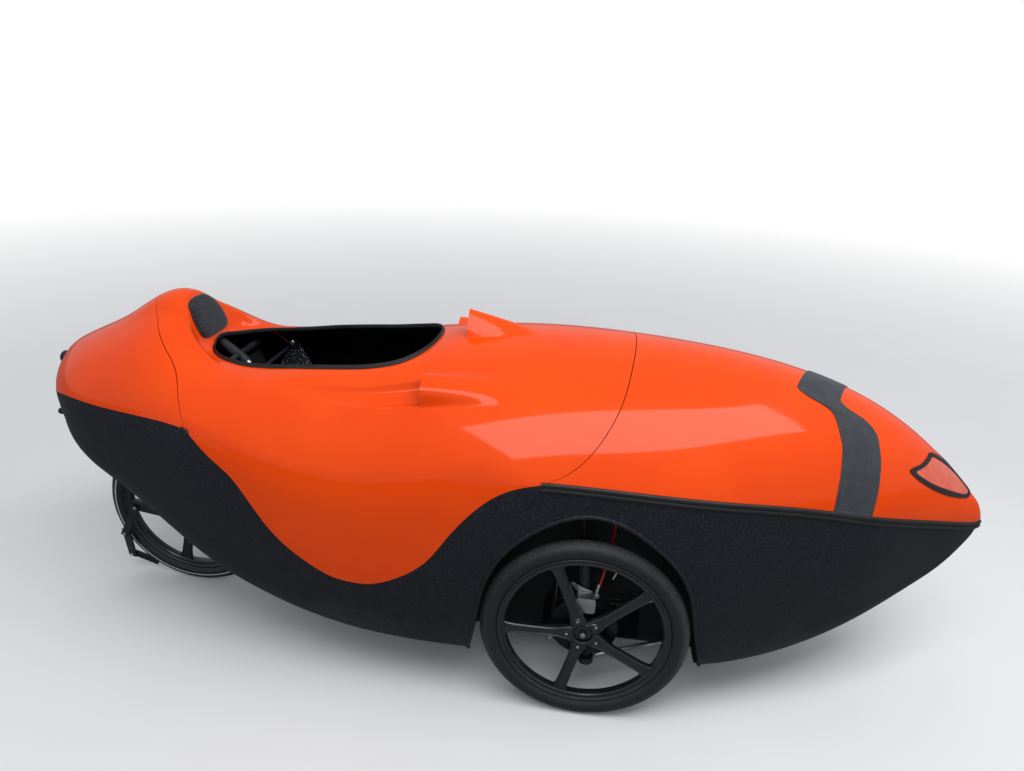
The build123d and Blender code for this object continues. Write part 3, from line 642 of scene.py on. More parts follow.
def above_edge(x, t, p):
    return np.where(np.abs(t) > 0.97, -1.0, p[..., 2] - lower_edge(x))


# %% Cockpit opening
COCKPIT_REAR_X, COCKPIT_FRONT_X, COCKPIT_HALF = -738.0, -150.0, 164.0


def cockpit_square(x):
    """Square of the opening's half width, below zero beyond its ends."""
    rear = 1 - np.exp(-(x - COCKPIT_REAR_X) / 105)
    front = 1 - np.exp(-(COCKPIT_FRONT_X - x) / 50)
    return COCKPIT_HALF ** 2 * rear * front


def outside_cockpit(x, t, p):
    value = p[..., 1] ** 2 - cockpit_square(np.clip(x, COCKPIT_REAR_X - 30, COCKPIT_FRONT_X + 30))
    far = (x < COCKPIT_REAR_X - 30) | (x > COCKPIT_FRONT_X + 30) | (np.abs(t) > T_RIM)
    return np.where(far, 1e4, value)


# %% [markdown]
# Now the three orange panels. The seams are 2 mm open joints, so each rule leaves half of that.

# %% Orange panels
WALL = 4.0
ORANGE_PANEL = {"wall": WALL, "materials": [ORANGE, LAMINATE], "slot": "orange_gelcoat"}


def above_joint(x, t, p):
    return above_edge(x, t, p) - 0.5


middle_shell = panel("middle_shell_skin", [beside_joint(tail_x, 1), beside_joint(nose_x, -1), above_joint,
                                           outside_cockpit], net_of=(-905, 345), step=8.0, t_low=-0.92,
                     t_high=0.92, t_steps=240, **ORANGE_PANEL)
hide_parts("middle_shell")
nose_cover = panel("nose_cover_skin", [beside_joint(nose_x, 1), above_joint], net_of=(90, 1400), t_low=-0.64,
                   t_high=0.64, t_steps=160, **ORANGE_PANEL)
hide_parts("nose_cover")
tail_cover = panel("tail_cover_skin", [beside_joint(tail_x, -1), above_joint], body="tail_lid",
                   net_of=(-1400, -660), t_low=-0.66, t_high=0.66, t_steps=160, **ORANGE_PANEL)
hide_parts("tail_cover")

# %% Black tub
ARCH_CENTRE = (262.0, 230.0)
ARCH = [(0, 20), (8, 250), (60, 445), (150, 538), (262, 578), (380, 530), (466, 440), (516, 270), (542, 20)]
WELL_INNER_Y, WELL_WALL = 196.0, 3.0
SLOT = (-1078.0, -552.0, 84.0)


def arch_angle(x, z):
    """Angle about the arch's centre, from straight down on the front side, in radians."""
    return np.mod(np.arctan2(z - ARCH_CENTRE[1], x - ARCH_CENTRE[0]) + math.pi / 2, 2 * math.pi)


arch_points = sorted((float(arch_angle(x, z)), math.hypot(x - ARCH_CENTRE[0], z - ARCH_CENTRE[1]))
                     for x, z in ARCH)
arch_radius = smooth_curve([p[0] for p in arch_points], [p[1] for p in arch_points])


def outside_arch(x, t, p):
    away = np.hypot(x - ARCH_CENTRE[0], p[..., 2] - ARCH_CENTRE[1])
    inside = arch_radius(arch_angle(x, p[..., 2])) - away
    deep = np.abs(p[..., 1]) - (WELL_INNER_Y + WELL_WALL)
    return np.where(np.abs(t) < 0.5, 1e3, -np.minimum(inside, deep))


def outside_slot(x, t, p):
    inside = np.minimum(np.minimum(x - SLOT[0], SLOT[1] - x), SLOT[2] - np.abs(p[..., 1]))
    return np.where(np.abs(t) < 0.7, 1e3, -inside)


def below_edge(x, t, p):
    return -above_edge(x, t, p)


tub = panel("tub_skin", [below_edge, outside_arch, outside_slot], WALL, [TUB_BLACK, LAMINATE], "black_tub",
            net_of=(-1400, 1400), t_steps=260)
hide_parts("tub")

# %% [markdown]
# ## Swept and turned pieces
# Rubber edgings, tubes and the arch's bead are one small profile carried along a path. Rims, tyres
# and hubs are a profile turned about the axle. Both keep real lengths in their UV map, so a tread or
# a weave can be drawn in millimetres round a wheel or along a strap.

# %% Carry a profile along a path
def ring_mesh(name, rings, body, materials, close_path=False, caps=True, sharp=40.0, uv=None, *, slot):
    """Quads between rings, each a row of points in drawing millimetres."""
    rings = np.asarray(rings)
    count, size = rings.shape[:2]
    faces, corners = [], []
    for i in range(count if close_path else count - 1):
        for j in range(size):
            i2, j2 = (i + 1) % count, (j + 1) % size
            faces.append((i * size + j, i * size + j2, i2 * size + j2, i2 * size + j))
            corners.append(((i, j), (i, j + 1), (i + 1, j + 1), (i + 1, j)))
    if caps and not close_path:
        faces += [tuple(range(size - 1, -1, -1)), tuple(range((count - 1) * size, count * size))]
    piece = make_piece(name, metres(rings.reshape(-1, 3)), faces, body, materials, smooth_angle=sharp)
    if uv is not None and len(piece.data.polygons) == len(faces):
        along, across = uv
        layer = piece.data.uv_layers.new(name="UVMap")
        values = np.zeros((len(piece.data.loops), 2))
        spots = np.array(corners).reshape(-1, 2)
        values[:len(spots), 0] = np.asarray(along)[spots[:, 0]] / 1000
        values[:len(spots), 1] = np.asarray(across)[spots[:, 1]] / 1000
        layer.data.foreach_set("uv", values.ravel())
    bm = bmesh.new()
    bm.from_mesh(piece.data)
    bmesh.ops.recalc_face_normals(bm, faces=bm.faces)
    bm.to_mesh(piece.data)
    bm.free()
    piece.data.set_sharp_from_angle(angle=math.radians(sharp))
    return piece


def unit(vectors):
    return vectors / np.maximum(np.linalg.norm(vectors, axis=-1, keepdims=True), 1e-9)


def lengths_along(path):
    """Length from the start of a path to each of its points."""
    return np.append(0, np.cumsum(np.linalg.norm(np.diff(path, axis=0), axis=1)))


def lengths_round(profile):
    """The same round a closed profile, back to its first point."""
    return lengths_along(np.vstack([profile, profile[:1]]))


def sweep(name, path, out, profile, body, materials, close_path=False, **extra):
    """profile is (u, v) points: u goes along out, v square to it and to the path."""
    path, out = np.asarray(path, float), np.asarray(out, float)
    along = unit(np.roll(path, -1, 0) - np.roll(path, 1, 0) if close_path else np.gradient(path, axis=0))
    out = unit(out - along * (out * along).sum(-1, keepdims=True))
    rise = np.cross(along, out)
    rings = path[:, None] + out[:, None] * profile[None, :, :1] + rise[:, None] * profile[None, :, 1:]
    lengths = lengths_along(path)
    lengths = np.append(lengths, lengths[-1] + (np.linalg.norm(path[0] - path[-1]) if close_path else 0))
    return ring_mesh(name, rings, body, materials, close_path, uv=(lengths, lengths_round(profile)), **extra)


def tube(name, points, radius, body, materials, sides=14, **extra):
    """A round bar through some points, on a smooth curve with rounded ends."""
    points = np.asarray(points, float)
    if len(points) > 2:
        lengths = lengths_along(points)
        s = np.linspace(0, lengths[-1], 8 * len(points))
        path = np.stack([smooth_curve(lengths, points[:, k])(s) for k in range(3)], -1)
    else:
        path = points[0] + (points[1] - points[0]) * np.linspace(0, 1, 6)[:, None]
    along = unit(path[-1] - path[0])
    side = np.array([0, 0, 1.0]) if abs(along[2]) < 0.8 else np.array([1.0, 0, 0])
    soft = min(radius * 0.25, 1.5)
    tip, tail = unit(path[1] - path[0]) * soft, unit(path[-1] - path[-2]) * soft
    path = np.vstack([path[:1], path[:1] + tip, path[1:-1], path[-1:] - tail, path[-1:]])
    angle = np.linspace(0, 2 * math.pi, sides, endpoint=False)
    profile = np.stack([radius * np.cos(angle), radius * np.sin(angle)], -1)
    piece = sweep(name, path, np.repeat(side[None], len(path), 0), profile, body, materials, **extra)
    points = np.array([v.co[:] for v in piece.data.vertices])
    for rows, end in zip((slice(0, sides), slice(len(points) - sides, len(points))), metres(path[[0, -1]])):
        points[rows] = end + (points[rows] - end) * (1 - soft / radius)
    piece.data.vertices.foreach_set("co", points.ravel())
    piece.data.update()
    return piece


def turned(name, profile, centre, side, body, materials, steps=96, sharp=30.0, **extra):
    """A closed profile of (radius, out) turned about the axle. side is 1 on the left, -1 on the right."""
    profile = np.asarray(profile, float)
    angle = np.linspace(0, 2 * math.pi, steps, endpoint=False)
    x = centre[0] + profile[None, :, 0] * np.cos(angle)[:, None]
    z = centre[2] + profile[None, :, 0] * np.sin(angle)[:, None]
    y = np.broadcast_to(centre[1] + side * profile[None, :, 1], x.shape)
    lengths = np.append(angle, 2 * math.pi) * profile[:, 0].max()
    return ring_mesh(name, np.stack([x, y, z], -1), body, materials, close_path=True, sharp=sharp,
                     uv=(lengths, lengths_round(profile)), **extra)


def t_at(x, target, axis, low, high):
    """t of the surface point at x whose coordinate along axis is target, between low and high."""
    x = np.asarray(x, float)
    low, high = np.full(x.shape, float(low)), np.full(x.shape, float(high))
    rising = surface(x, high)[..., axis] > surface(x, low)[..., axis]
    for _ in range(26):
        middle = (low + high) / 2
        under = surface(x, middle)[..., axis] < target
        low, high = np.where(under == rising, middle, low), np.where(under == rising, high, middle)
    return (low + high) / 2


# %% [markdown]
# ### Rubber, plastic and metal
# The edgings are black EPDM rubber, matt and a little grey with age. The wheels are cast nylon or
# magnesium painted satin black. Links are powder-coated steel, and stays and bolts are bright zinc
# plate, which scatters light along its length.

# %% Rubber
def rubber(name, dark, pale, rough=(0.45, 0.65), grain=1.5, strength=0.15):
    paint = Paint(name, IOR=1.52)
    cloud, fine = paint.noise(70, 4.0), paint.noise(grain, 3.0)
    colour = paint.ramp(paint.maths("MULTIPLY", cloud, fine), [(0.12, dark), (0.42, pale)])
    return paint.shade(colour, paint.to_range(cloud, 0.3, 0.7, *rough), fine, strength, 0.0004)


EDGING = rubber("epdm_edging", "#0F1013", "#1E2024")
BELLOWS = rubber("bellows_rubber", "#101112", "#232425", (0.5, 0.7))
GRIP = rubber("foam_grip", "#17191D", "#2C2F34", (0.6, 0.8), 2.5, 0.4)


# %% Painted and bare metal
def metal_paint(name, dark, pale, rough, coat=0.0, chips="#5A5B5C"):
    """Sprayed paint over metal: an even film with faint orange peel and worn, dusty spots."""
    paint = Paint(name, IOR=1.5, Coat_Weight=coat, Coat_Roughness=0.15)
    cloud, fine = paint.noise(45, 5.0), paint.noise(2.5, 3.0)
    colour = paint.ramp(cloud, [(0.3, dark), (0.7, pale)])
    worn = paint.ramp(fine, [(0.0, "#000000"), (0.70, "#000000"), (0.78, "#777777")])
    uneven = paint.to_range(cloud, 0.3, 0.7, rough - 0.07, rough + 0.07)
    return paint.shade(paint.blend(worn, colour, chips), uneven, fine, 0.06, 0.0003)


def bare_metal(name, dark, pale, rough):
    """Cast or plated metal left bare: bright, with a soft grain and dull, dusty patches."""
    paint = Paint(name, Metallic=1.0)
    cloud, grain = paint.noise(25, 5.0), paint.noise(1.2, 2.0)
    colour = paint.ramp(cloud, [(0.3, dark), (0.65, pale)])
    uneven = paint.to_range(cloud, 0.3, 0.7, rough + 0.1, rough - 0.06)
    return paint.shade(colour, uneven, grain, 0.08, 0.0002)


WHEEL_PAINT = metal_paint("satin_black_casting", "#101317", "#1B2026", 0.33, coat=0.3, chips="#30343A")
STEEL_PAINT = metal_paint("powder_coated_steel", "#141517", "#222427", 0.45)
ZINC = bare_metal("zinc_plated_steel", "#8D9092", "#C9CBCC", 0.32)
ALLOY = bare_metal("cast_aluminium", "#97999B", "#C4C6C8", 0.38)
DISC_STEEL = bare_metal("blackened_disc", "#202224", "#3A3C3E", 0.45)


# %% Tyre rubber
def tyre_rubber(reflective):
    """Tyre compound with a fine grooved tread, dusty where it meets the road. v runs across it."""
    paint = Paint("tyre_rubber_ring" if reflective else "tyre_rubber", IOR=1.52)
    v = paint.add("SeparateXYZ", None, Vector=paint.uv).outputs[1]
    off = paint.maths("ABSOLUTE", paint.maths("SUBTRACT", v, TYRE_MIDDLE))
    pattern = paint.maths("MULTIPLY", paint.bands(4.2, "Y", paint.uv), paint.bands(6.0, "DIAGONAL", paint.uv))
    cut_tread = paint.maths("MULTIPLY", pattern, paint.to_range(off, 0.015, 0.021, 1.0, 0.0))
    film = paint.maths("MULTIPLY", paint.noise(8, 6.0), paint.to_range(off, 0.012, 0.032, 0.6, 0.06))
    colour = paint.blend(film, "#0E1014", "#7C7D7F")
    if reflective:
        colour = paint.blend(paint.maths("COMPARE", off, 0.0315, 0.0016), colour, "#DDE1E8")
    rough = paint.to_range(film, 0.0, 0.5, 0.42, 0.85)
    return paint.shade(colour, rough, cut_tread, 0.5, 0.0010, invert=True)


# %% [markdown]
# ## Wheels
# Three cast wheels with five flat blades. Each rim is one turned ring with a bead seat and a groove.
# A blade is a short row of sections from the hub out to the rim, and a five-lobed plate with a bolt
# at each blade makes the hub. The tyre is a turned ring too, with a flat tread and full sidewalls.

# %% Rims and tyres
RIM_SEAT, RIM_INSIDE = TYRE_RADIUS - 42.0, TYRE_RADIUS - 61.0
# profiles of radius and distance out
RIM = [(RIM_SEAT - less, out) for less, out in
       ((0, 13.6), (1.5, 14.8), (4.0, 15.0), (6.0, 13.6), (8.0, 11.6), (11.5, 11.2), (13.5, 12.2),
        (16.0, 11.6))]
RIM += [(RIM_INSIDE + 0.6, 9.0), (RIM_INSIDE, 6.0), (RIM_INSIDE, -7.0), (RIM_INSIDE + 5, -9.5)]
RIM += [(RIM_SEAT - less, out) for less, out in ((6.0, -13.0), (2, -14.6), (0, -13.6))]
TYRE = [(RIM_SEAT + more, out) for more, out in
        ((0.4, 11.5), (1.5, 13.8), (4.0, 15.6), (7.0, 17.8), (11.5, 19.9), (17.0, 21.0), (22.5, 20.8),
         (27.5, 19.2), (29.0, 18.9), (32.5, 16.6), (37.0, 12.4), (40.3, 7.2), (41.7, 3.0))]
TYRE += [(r, -out) for r, out in reversed(TYRE)]
TYRE_MIDDLE = float(np.linalg.norm(np.diff(np.array(TYRE), axis=0), axis=1).sum()) / 2000
TYRE_PLAIN, TYRE_RING = tyre_rubber(False), tyre_rubber(True)
print("across the tyre's outside", round(TYRE_MIDDLE * 2000, 1), "mm")

# %% Blades and hubs
SPOKE_ANGLES = [math.radians(40.5 + 72 * k) for k in range(5)]
VALVE_ANGLE = math.radians(70)
BOLT_CIRCLE, HUB_FACE, AXLE_END = 38.0, 18.6, 19.4
# radius, half width, outer face, inner face
BLADE = [(26, 20.0, 17.5, 4.0), (40, 18.0, 17.5, 3.5), (56, 14.0, 16.8, 3.0), (80, 12.0, 15.6, 2.0),
         (120, 12.0, 13.0, -0.5), (160, 13.0, 10.4, -3.0), (176, 15.0, 9.6, -4.0), (184.5, 19.0, 9.2, -4.6)]


def blade_rings(angle, centre, side):
    """Sections of one blade: flat outer face, bevelled edges and a hollow back."""
    ahead = np.array([math.cos(angle), 0, math.sin(angle)])
    aside = np.array([-math.sin(angle), 0, math.cos(angle)])
    out = np.array([0, side, 0])
    rings = []
    for radius, half, face, back in BLADE:
        shape = [(-half, back), (-half, face - 2.6), (-half + 2.2, face), (-half + 4.4, face - 0.1),
                 (-half + 5.6, face - 1.3), (half - 5.6, face - 1.3), (half - 4.4, face - 0.1),
                 (half - 2.2, face), (half, face - 2.6), (half, back), (half - 3, back - 0.5),
                 (half - 4, back + 4), (4 - half, back + 4), (3 - half, back - 0.5)]
        rings.append([np.array(centre) + ahead * radius + aside * s + out * o for s, o in shape])
    return rings


def about_axle(centre, side, angle, radius, out):
    """Points at an angle and radius about a line across the vehicle, and out along it."""
    radius = np.broadcast_to(radius, np.shape(angle))
    y = np.full(radius.shape, centre[1] + side * out)
    return np.stack([centre[0] + radius * np.cos(angle), y, centre[2] + radius * np.sin(angle)], -1)


def hub_plate(name, centre, side, body, outer, inner, hole):
    """A five-lobed plate round the axle, with a recess for the bearing."""
    angle = np.linspace(0, 2 * math.pi, 120, endpoint=False)
    lobe = 38 + 7.5 * np.cos(5 * (angle - SPOKE_ANGLES[0]))
    rows = [(lobe, inner), (lobe, outer - 2.4), (lobe - 2.4, outer), (hole + 2.0, outer - 0.2),
            (hole, outer - 2.0), (hole, outer - 9), (9.3, outer - 9.2)]
    rings = [about_axle(centre, side, angle, radius, out) for radius, out in rows]
    return ring_mesh(name, rings, body, [WHEEL_PAINT], caps=False, sharp=28, slot="cast_wheel")


def bolt(name, centre, side, radius, height, body):
    """A zinc-plated socket-head screw: a chamfered head with a hexagonal socket."""
    angle = np.linspace(0, 2 * math.pi, 24, endpoint=False)
    hexagon = radius * 0.52 / np.cos((angle + math.pi / 6) % (math.pi / 3) - math.pi / 6)
    rows = [(radius, 0.0), (radius, height - 0.8), (radius - 0.8, height), (hexagon, height),
            (hexagon, height * 0.35), (0.05, height * 0.35)]
    rings = [about_axle(centre, side, angle, r, out) for r, out in rows]
    return ring_mesh(name, rings, body, [ZINC], caps=False, sharp=30, slot="steel")


HUB_BARREL = [(26, 4.0), (26, -8), (23, -11), (9.2, -11), (9.2, 4.0)]
BEARING_SEAL = [(19, HUB_FACE - 9), (19, HUB_FACE - 5.2), (17.5, HUB_FACE - 4.4), (13.5, HUB_FACE - 4.4),
                (13, HUB_FACE - 5.6), (9.3, HUB_FACE - 5.6), (9.3, HUB_FACE - 9)]


def make_wheel(word, body, centre, side, tyre_material, nodes):
    """Rim, blades, hub, bolts, valve and tyre of one wheel. nodes are the CAD wheel and CAD tyre."""
    where = (centre, side, body)
    cast = {"materials": [WHEEL_PAINT], "slot": "cast_wheel"}
    rim = turned(f"rim_{word}", RIM, *where, steps=160, **cast)
    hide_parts(nodes[0])
    for number, angle in enumerate(SPOKE_ANGLES, 1):
        ring_mesh(f"blade_{word}_{number}", blade_rings(angle, centre, side), body, sharp=25, **cast)
        spot = about_axle(centre, side, angle, BOLT_CIRCLE, HUB_FACE)
        bolt(f"hub_bolt_{word}_{number}", spot, side, 3.6, 2.2, body)
    hub_plate(f"hub_plate_{word}", *where, HUB_FACE, 3.0, 23.0)
    turned(f"hub_barrel_{word}", HUB_BARREL, *where, **cast)
    turned(f"bearing_seal_{word}", BEARING_SEAL, *where, **cast)
    if word != "rear":
        bolt(f"axle_screw_{word}", (centre[0], centre[1] + side * AXLE_END, centre[2]), side, 6.0, 3.2, body)
    stem = [about_axle(centre, side, VALVE_ANGLE, RIM_INSIDE + more, 2) for more in (2, -22)]
    tube(f"valve_{word}", stem, 2.6, body, [ZINC], sides=12, slot="steel")
    tyre = turned(f"tyre_{word}", TYRE, *where, [tyre_material], steps=180, sharp=24, slot="tyre")
    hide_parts(nodes[1])


SIDES = ((1, "left"), (-1, "right"))
for side, word in SIDES:
    make_wheel(word, f"front_roller_{word}", (FRONT_AXLE_X, side * HALF_TRACK, TYRE_RADIUS), side, TYRE_PLAIN,
               (f"front_wheel_{word}", f"front_tyre_{word}"))
make_wheel("rear", "rear_roller", (REAR_AXLE_X, 0.0, TYRE_RADIUS), -1, TYRE_RING, ("rear_wheel", "rear_tyre"))

# %% [markdown]
# ### Front end behind the wheels
# The suspension leg, the wishbone, the rods and the plates keep their CAD shapes, because they are
# already right. They only get their finishes. The brake caliper gains its lever and its banjo bolt.

# %% Finishes for the frame's own parts
def finish(node, material):
    """Gives a CAD node its material."""
    part = frame["nodes"][node]
    part.data.materials.clear()
    part.data.materials.append(material)


PAIR_FINISHES = {"wheel_well": LAMINATE, "knuckle": STEEL_PAINT, "caliper": ALLOY, "strut_top": BELLOWS,
                 "lower_arm": STEEL_PAINT, "radius_rod": ZINC, "brake_disc": DISC_STEEL}
for _, word in SIDES:
    for node, material in PAIR_FINISHES.items():
        finish(f"{node}_{word}", material)
finish("track_rod", ZINC)
finish("swingarm", STEEL_PAINT)
finish("rear_wheel_box", LAMINATE)


# %% Brake hose, lever and banjo
def hose_red():
    """Red polyurethane hose over a braid: glossy and a little translucent, so it looks deep."""
    paint = Paint("red_hose_pu", IOR=1.49, Coat_Weight=0.4, Coat_Roughness=0.15)
    braid = paint.bands(3.0, "DIAGONAL")
    return paint.shade(paint.ramp(braid, [(0.2, "#A30B12"), (0.8, "#CC1820")]), 0.3, braid, 0.15, 0.0003)


HOSE_RED = hose_red()
# the actuating lever, a flat bright plate that leans back from the caliper: outline (x, z) and its two faces
LEVER = np.array([(-9, 66), (2, 72), (14, 76), (19, 84), (12, 91), (-6, 97), (-26, 106), (-33, 112),
                  (-39, 110), (-36, 101), (-24, 90), (-14, 80)], float)
LEVER_FACES = (26.8, 30.0)
LEVER_PINS = ((-30, 105), (-18, 96), (2, 82))
for side, word in SIDES:
    body = f"upright_{word}"
    finish(f"brake_hose_{word}", HOSE_RED)
    axle = np.array([FRONT_AXLE_X, side * HALF_TRACK, TYRE_RADIUS])
    foot = axle + (24, -side * 24, 88)
    tube(f"hose_end_{word}", [foot + (-1.5, side * 1.5, 2), foot + (4, -side * 6, 22)], 4.6, body, [ZINC],
         slot="steel")
    tube(f"banjo_{word}", [foot + (0, -side * 6, -4), foot + (0, side * 7, -4)], 7.0, body, [ALLOY],
         slot="alloy")
    rings = [axle + np.stack([LEVER[:, 0], np.full(len(LEVER), -side * out), LEVER[:, 1]], -1)
             for out in LEVER_FACES]
    ring_mesh(f"brake_lever_{word}", rings, body, [ALLOY], sharp=30, slot="alloy")
    for number, (x, z) in enumerate(LEVER_PINS, 1):
        bolt(f"lever_pin_{word}_{number}", axle + (x, -side * LEVER_FACES[0], z), side, 3.4, 1.6, body)

# %% [markdown]
# ## Edgings
# A slim rubber lip runs round the cockpit, a double-ridged rubber strip covers the joint between the
# hood and the tub ahead of the wheels, and the arch's edge is rolled outward into a bead.

# %% Cockpit lip
def cockpit_path(count=150):
    """Points round the opening, at the surface, with the outward direction at each."""
    angle = np.linspace(0, 2 * math.pi, count, endpoint=False)
    span = (COCKPIT_FRONT_X - COCKPIT_REAR_X) / 2
    x = (COCKPIT_FRONT_X + COCKPIT_REAR_X) / 2 - span * np.cos(angle) * 0.99999
    y = np.sqrt(np.clip(cockpit_square(x), 0, None)) * np.sign(np.sin(angle + 1e-9))
    plan = np.stack([x, y], -1)
    run = np.roll(plan, -1, 0) - np.roll(plan, 1, 0)
    out = unit(np.stack([-run[:, 1], run[:, 0]], -1))
    out *= np.sign((out * (plan - plan.mean(0))).sum(-1, keepdims=True))
    t = t_at(x, np.abs(y), 1, 0.0, 0.6) * np.sign(y + 1e-9)
    return surface(x, t), np.concatenate([out, np.zeros((count, 1))], -1)


path, out = cockpit_path()
path[:, 2] = (np.roll(path[:, 2], 1) + 2 * path[:, 2] + np.roll(path[:, 2], -1)) / 4
# outward and upward: a bulb on top of the edge, and a leg inside it
LIP = 0.62 * np.array([(5.5, -3.0), (6.6, 0.5), (6.2, 3.6), (4.2, 5.8), (1.0, 6.6), (-2.6, 5.8), (-4.8, 3.6),
                       (-5.6, 0.5), (-5.4, -6.0), (-4.8, -13.0), (-3.8, -14.0), (-2.8, -13.0), (-2.6, -4.5),
                       (1.0, -1.4), (4.5, -1.6)])
lip = sweep("cockpit_edging", path, out, LIP * (1, -1), "chassis", [EDGING], close_path=True, sharp=50,
            slot="rubber")
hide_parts("cockpit_lip")
print("lip runs", round(float(lengths_along(path)[-1])), "mm round the cockpit")

# %% Double-ridged strip along the hood's lower edge
STRIP_REAR_X, STRIP_FRONT_X, STRIP_TIP, STRIP_TIP_Z = 146, 1204, 10.5, 452.0
xs = np.concatenate([np.arange(STRIP_REAR_X, 1150, 12.0), np.arange(1150, STRIP_FRONT_X, 6.0)])
tip = STRIP_FRONT_X + STRIP_TIP * np.sin(np.linspace(0, math.pi / 2, 9))[1:]
strip_x = np.concatenate([xs, tip])
right_side = surface(strip_x, np.full(len(strip_x), -T_RIM))
path = np.concatenate([right_side[:-1], right_side[::-1] * (1, -1, 1)])
# round the tip the strip levels out
levelled = np.interp(path[:, 0], [1190, NOSE_TIP_X], [path[len(xs) - 3, 2], STRIP_TIP_Z])
path[:, 2] = np.where(path[:, 0] > 1190, levelled, path[:, 2])
run = np.gradient(path, axis=0)
out = unit(np.stack([run[:, 1], -run[:, 0], np.zeros(len(run))], -1))
STRIP = np.array([(-1.5, -10.5), (2.2, -10.5), (4.8, -8.6), (5.8, -5.6), (5.2, -2.4), (2.6, -0.6), (2.6, 0.6),
                  (5.2, 2.2), (6.0, 5.0), (5.0, 8.2), (2.6, 9.8), (-1.5, 9.8)])
strip = sweep("hood_edge_strip", path, out, STRIP, "chassis", [EDGING], sharp=32, slot="rubber")
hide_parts("rim_trim")

# %% Rolled bead round each wheel arch
BEAD_LOW_Z = 140
arch_turn = np.linspace(arch_points[0][0] + 0.05, arch_points[-1][0] - 0.05, 120)
arch_x = ARCH_CENTRE[0] + arch_radius(arch_turn) * np.sin(arch_turn)
arch_z = ARCH_CENTRE[1] - arch_radius(arch_turn) * np.cos(arch_turn)
keep = arch_z > BEAD_LOW_Z
arch_x, arch_z = arch_x[keep], arch_z[keep]
arch_t = t_at(arch_x, arch_z, 2, 0.62, 0.895)
edge = surface(arch_x, -arch_t)
outward = surface_normals(arch_x, -arch_t) * (1, 1, 0)
BEAD = np.array([(-5.0, -2.0), (-4.0, 3.0), (0.5, 4.0), (3.4, 3.0), (4.8, 0.5), (4.2, -2.8), (1.8, -5.0),
                 (-1.4, -5.6), (-4.6, -4.6)])
print("arch edge from", edge[0].round(), "over", edge[len(edge) // 2].round(), "to", edge[-1].round())
for side, word in SIDES:
    out = unit(outward * (1, -side, 1))
    sweep(f"arch_bead_{word}", edge * (1, -side, 1), out, BEAD * (1, side), "chassis", [TUB_BLACK], sharp=60,
          slot="black_tub")

# %% [markdown]
# ### Webbing
# The strap over the nose is polypropylene webbing. Its ribs run across it and show as fine lines about
# 4 mm apart, and a box of stitches holds each end.

# %% Webbing
def webbing():
    paint = Paint("polypropylene_webbing", IOR=1.49, Sheen_Weight=0.25, Sheen_Roughness=0.4)
    ribs, threads = paint.bands(4.0, "Y", paint.uv), paint.bands(6.0, "X", paint.uv, Distortion=0.6)
    weave = paint.maths("MULTIPLY_ADD", threads, 0.45, ribs)
    colour = paint.ramp(weave, [(0.15, "#121418"), (0.9, "#3A3E46")])
    faded = paint.blend(paint.to_range(paint.noise(30, 4.0), 0.4, 0.75, 0, 0.35), colour, "#4C4F55")
    return paint.shade(faded, paint.to_range(weave, 0.0, 1.4, 0.85, 0.6), weave, 0.6, 0.0008)


WEBBING = webbing()
STRAP_FOOT_WIDTH = 92.0
# edges of the strap as (t, x): t below 0 is the right side, which the photograph shows
STRAP_REAR = [(-0.65, 778), (-0.601, 782), (-0.487, 791), (-0.40, 795), (-0.322, 783), (-0.295, 775),
              (-0.277, 760), (-0.266, 742), (-0.25, 722), (-0.212, 701), (-0.19, 699), (0.15, 758),
              (0.20, 765), (0.32, 782), (0.40, 795), (0.487, 791), (0.601, 782), (0.65, 778)]
STRAP_FRONT = [(-0.65, 870), (-0.598, 878), (-0.502, 887), (-0.409, 891), (-0.328, 886), (-0.301, 875),
               (-0.265, 850), (-0.244, 818), (-0.205, 802), (-0.178, 803), (0.113, 848), (0.20, 860),
               (0.328, 884), (0.409, 891), (0.502, 887), (0.598, 878), (0.65, 870)]


def eased(points, t):
    """Height of a broken line at t, with its corners eased."""
    knots, values = zip(*points)
    return sum(w * np.interp(t + d, knots, values)
               for d, w in ((-0.014, 0.1), (-0.007, 0.25), (0, 0.3), (0.007, 0.25), (0.014, 0.1)))


def on_strap(t, share):
    """Points and normals of the shell under the strap. share goes from its rear edge to its front edge."""
    rear, front = eased(STRAP_REAR, t), eased(STRAP_FRONT, t)
    x = rear + (front - rear) * share
    return surface(x, t), surface_normals(x, t)


strap_t = np.linspace(-0.603, 0.603, 221)
across = np.linspace(0, 1, 25)
lift = 2.6 - 0.9 * (np.abs(across - 0.5) > 0.49)
rings = []
for t in strap_t:
    p, n = on_strap(np.full_like(across, t), across)
    rings.append(np.concatenate([p + n * lift[:, None], (p + n * 0.3)[::-1]]))
along = lengths_along(np.array(rings)[:, 12])
width = np.concatenate([across * STRAP_FOOT_WIDTH, [STRAP_FOOT_WIDTH] * 25, [0]])
strap = ring_mesh("nose_strap_webbing", rings, "chassis", [WEBBING], sharp=50, uv=(along, width[:51]),
                  slot="webbing")
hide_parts("nose_strap")
print("strap is", round(float(along[-1])), "mm long")


# %% Stitches
def at_length(lengths, values, place):
    """Values along a path at one place on it."""
    return np.array([np.interp(place, lengths, column) for column in values.T])


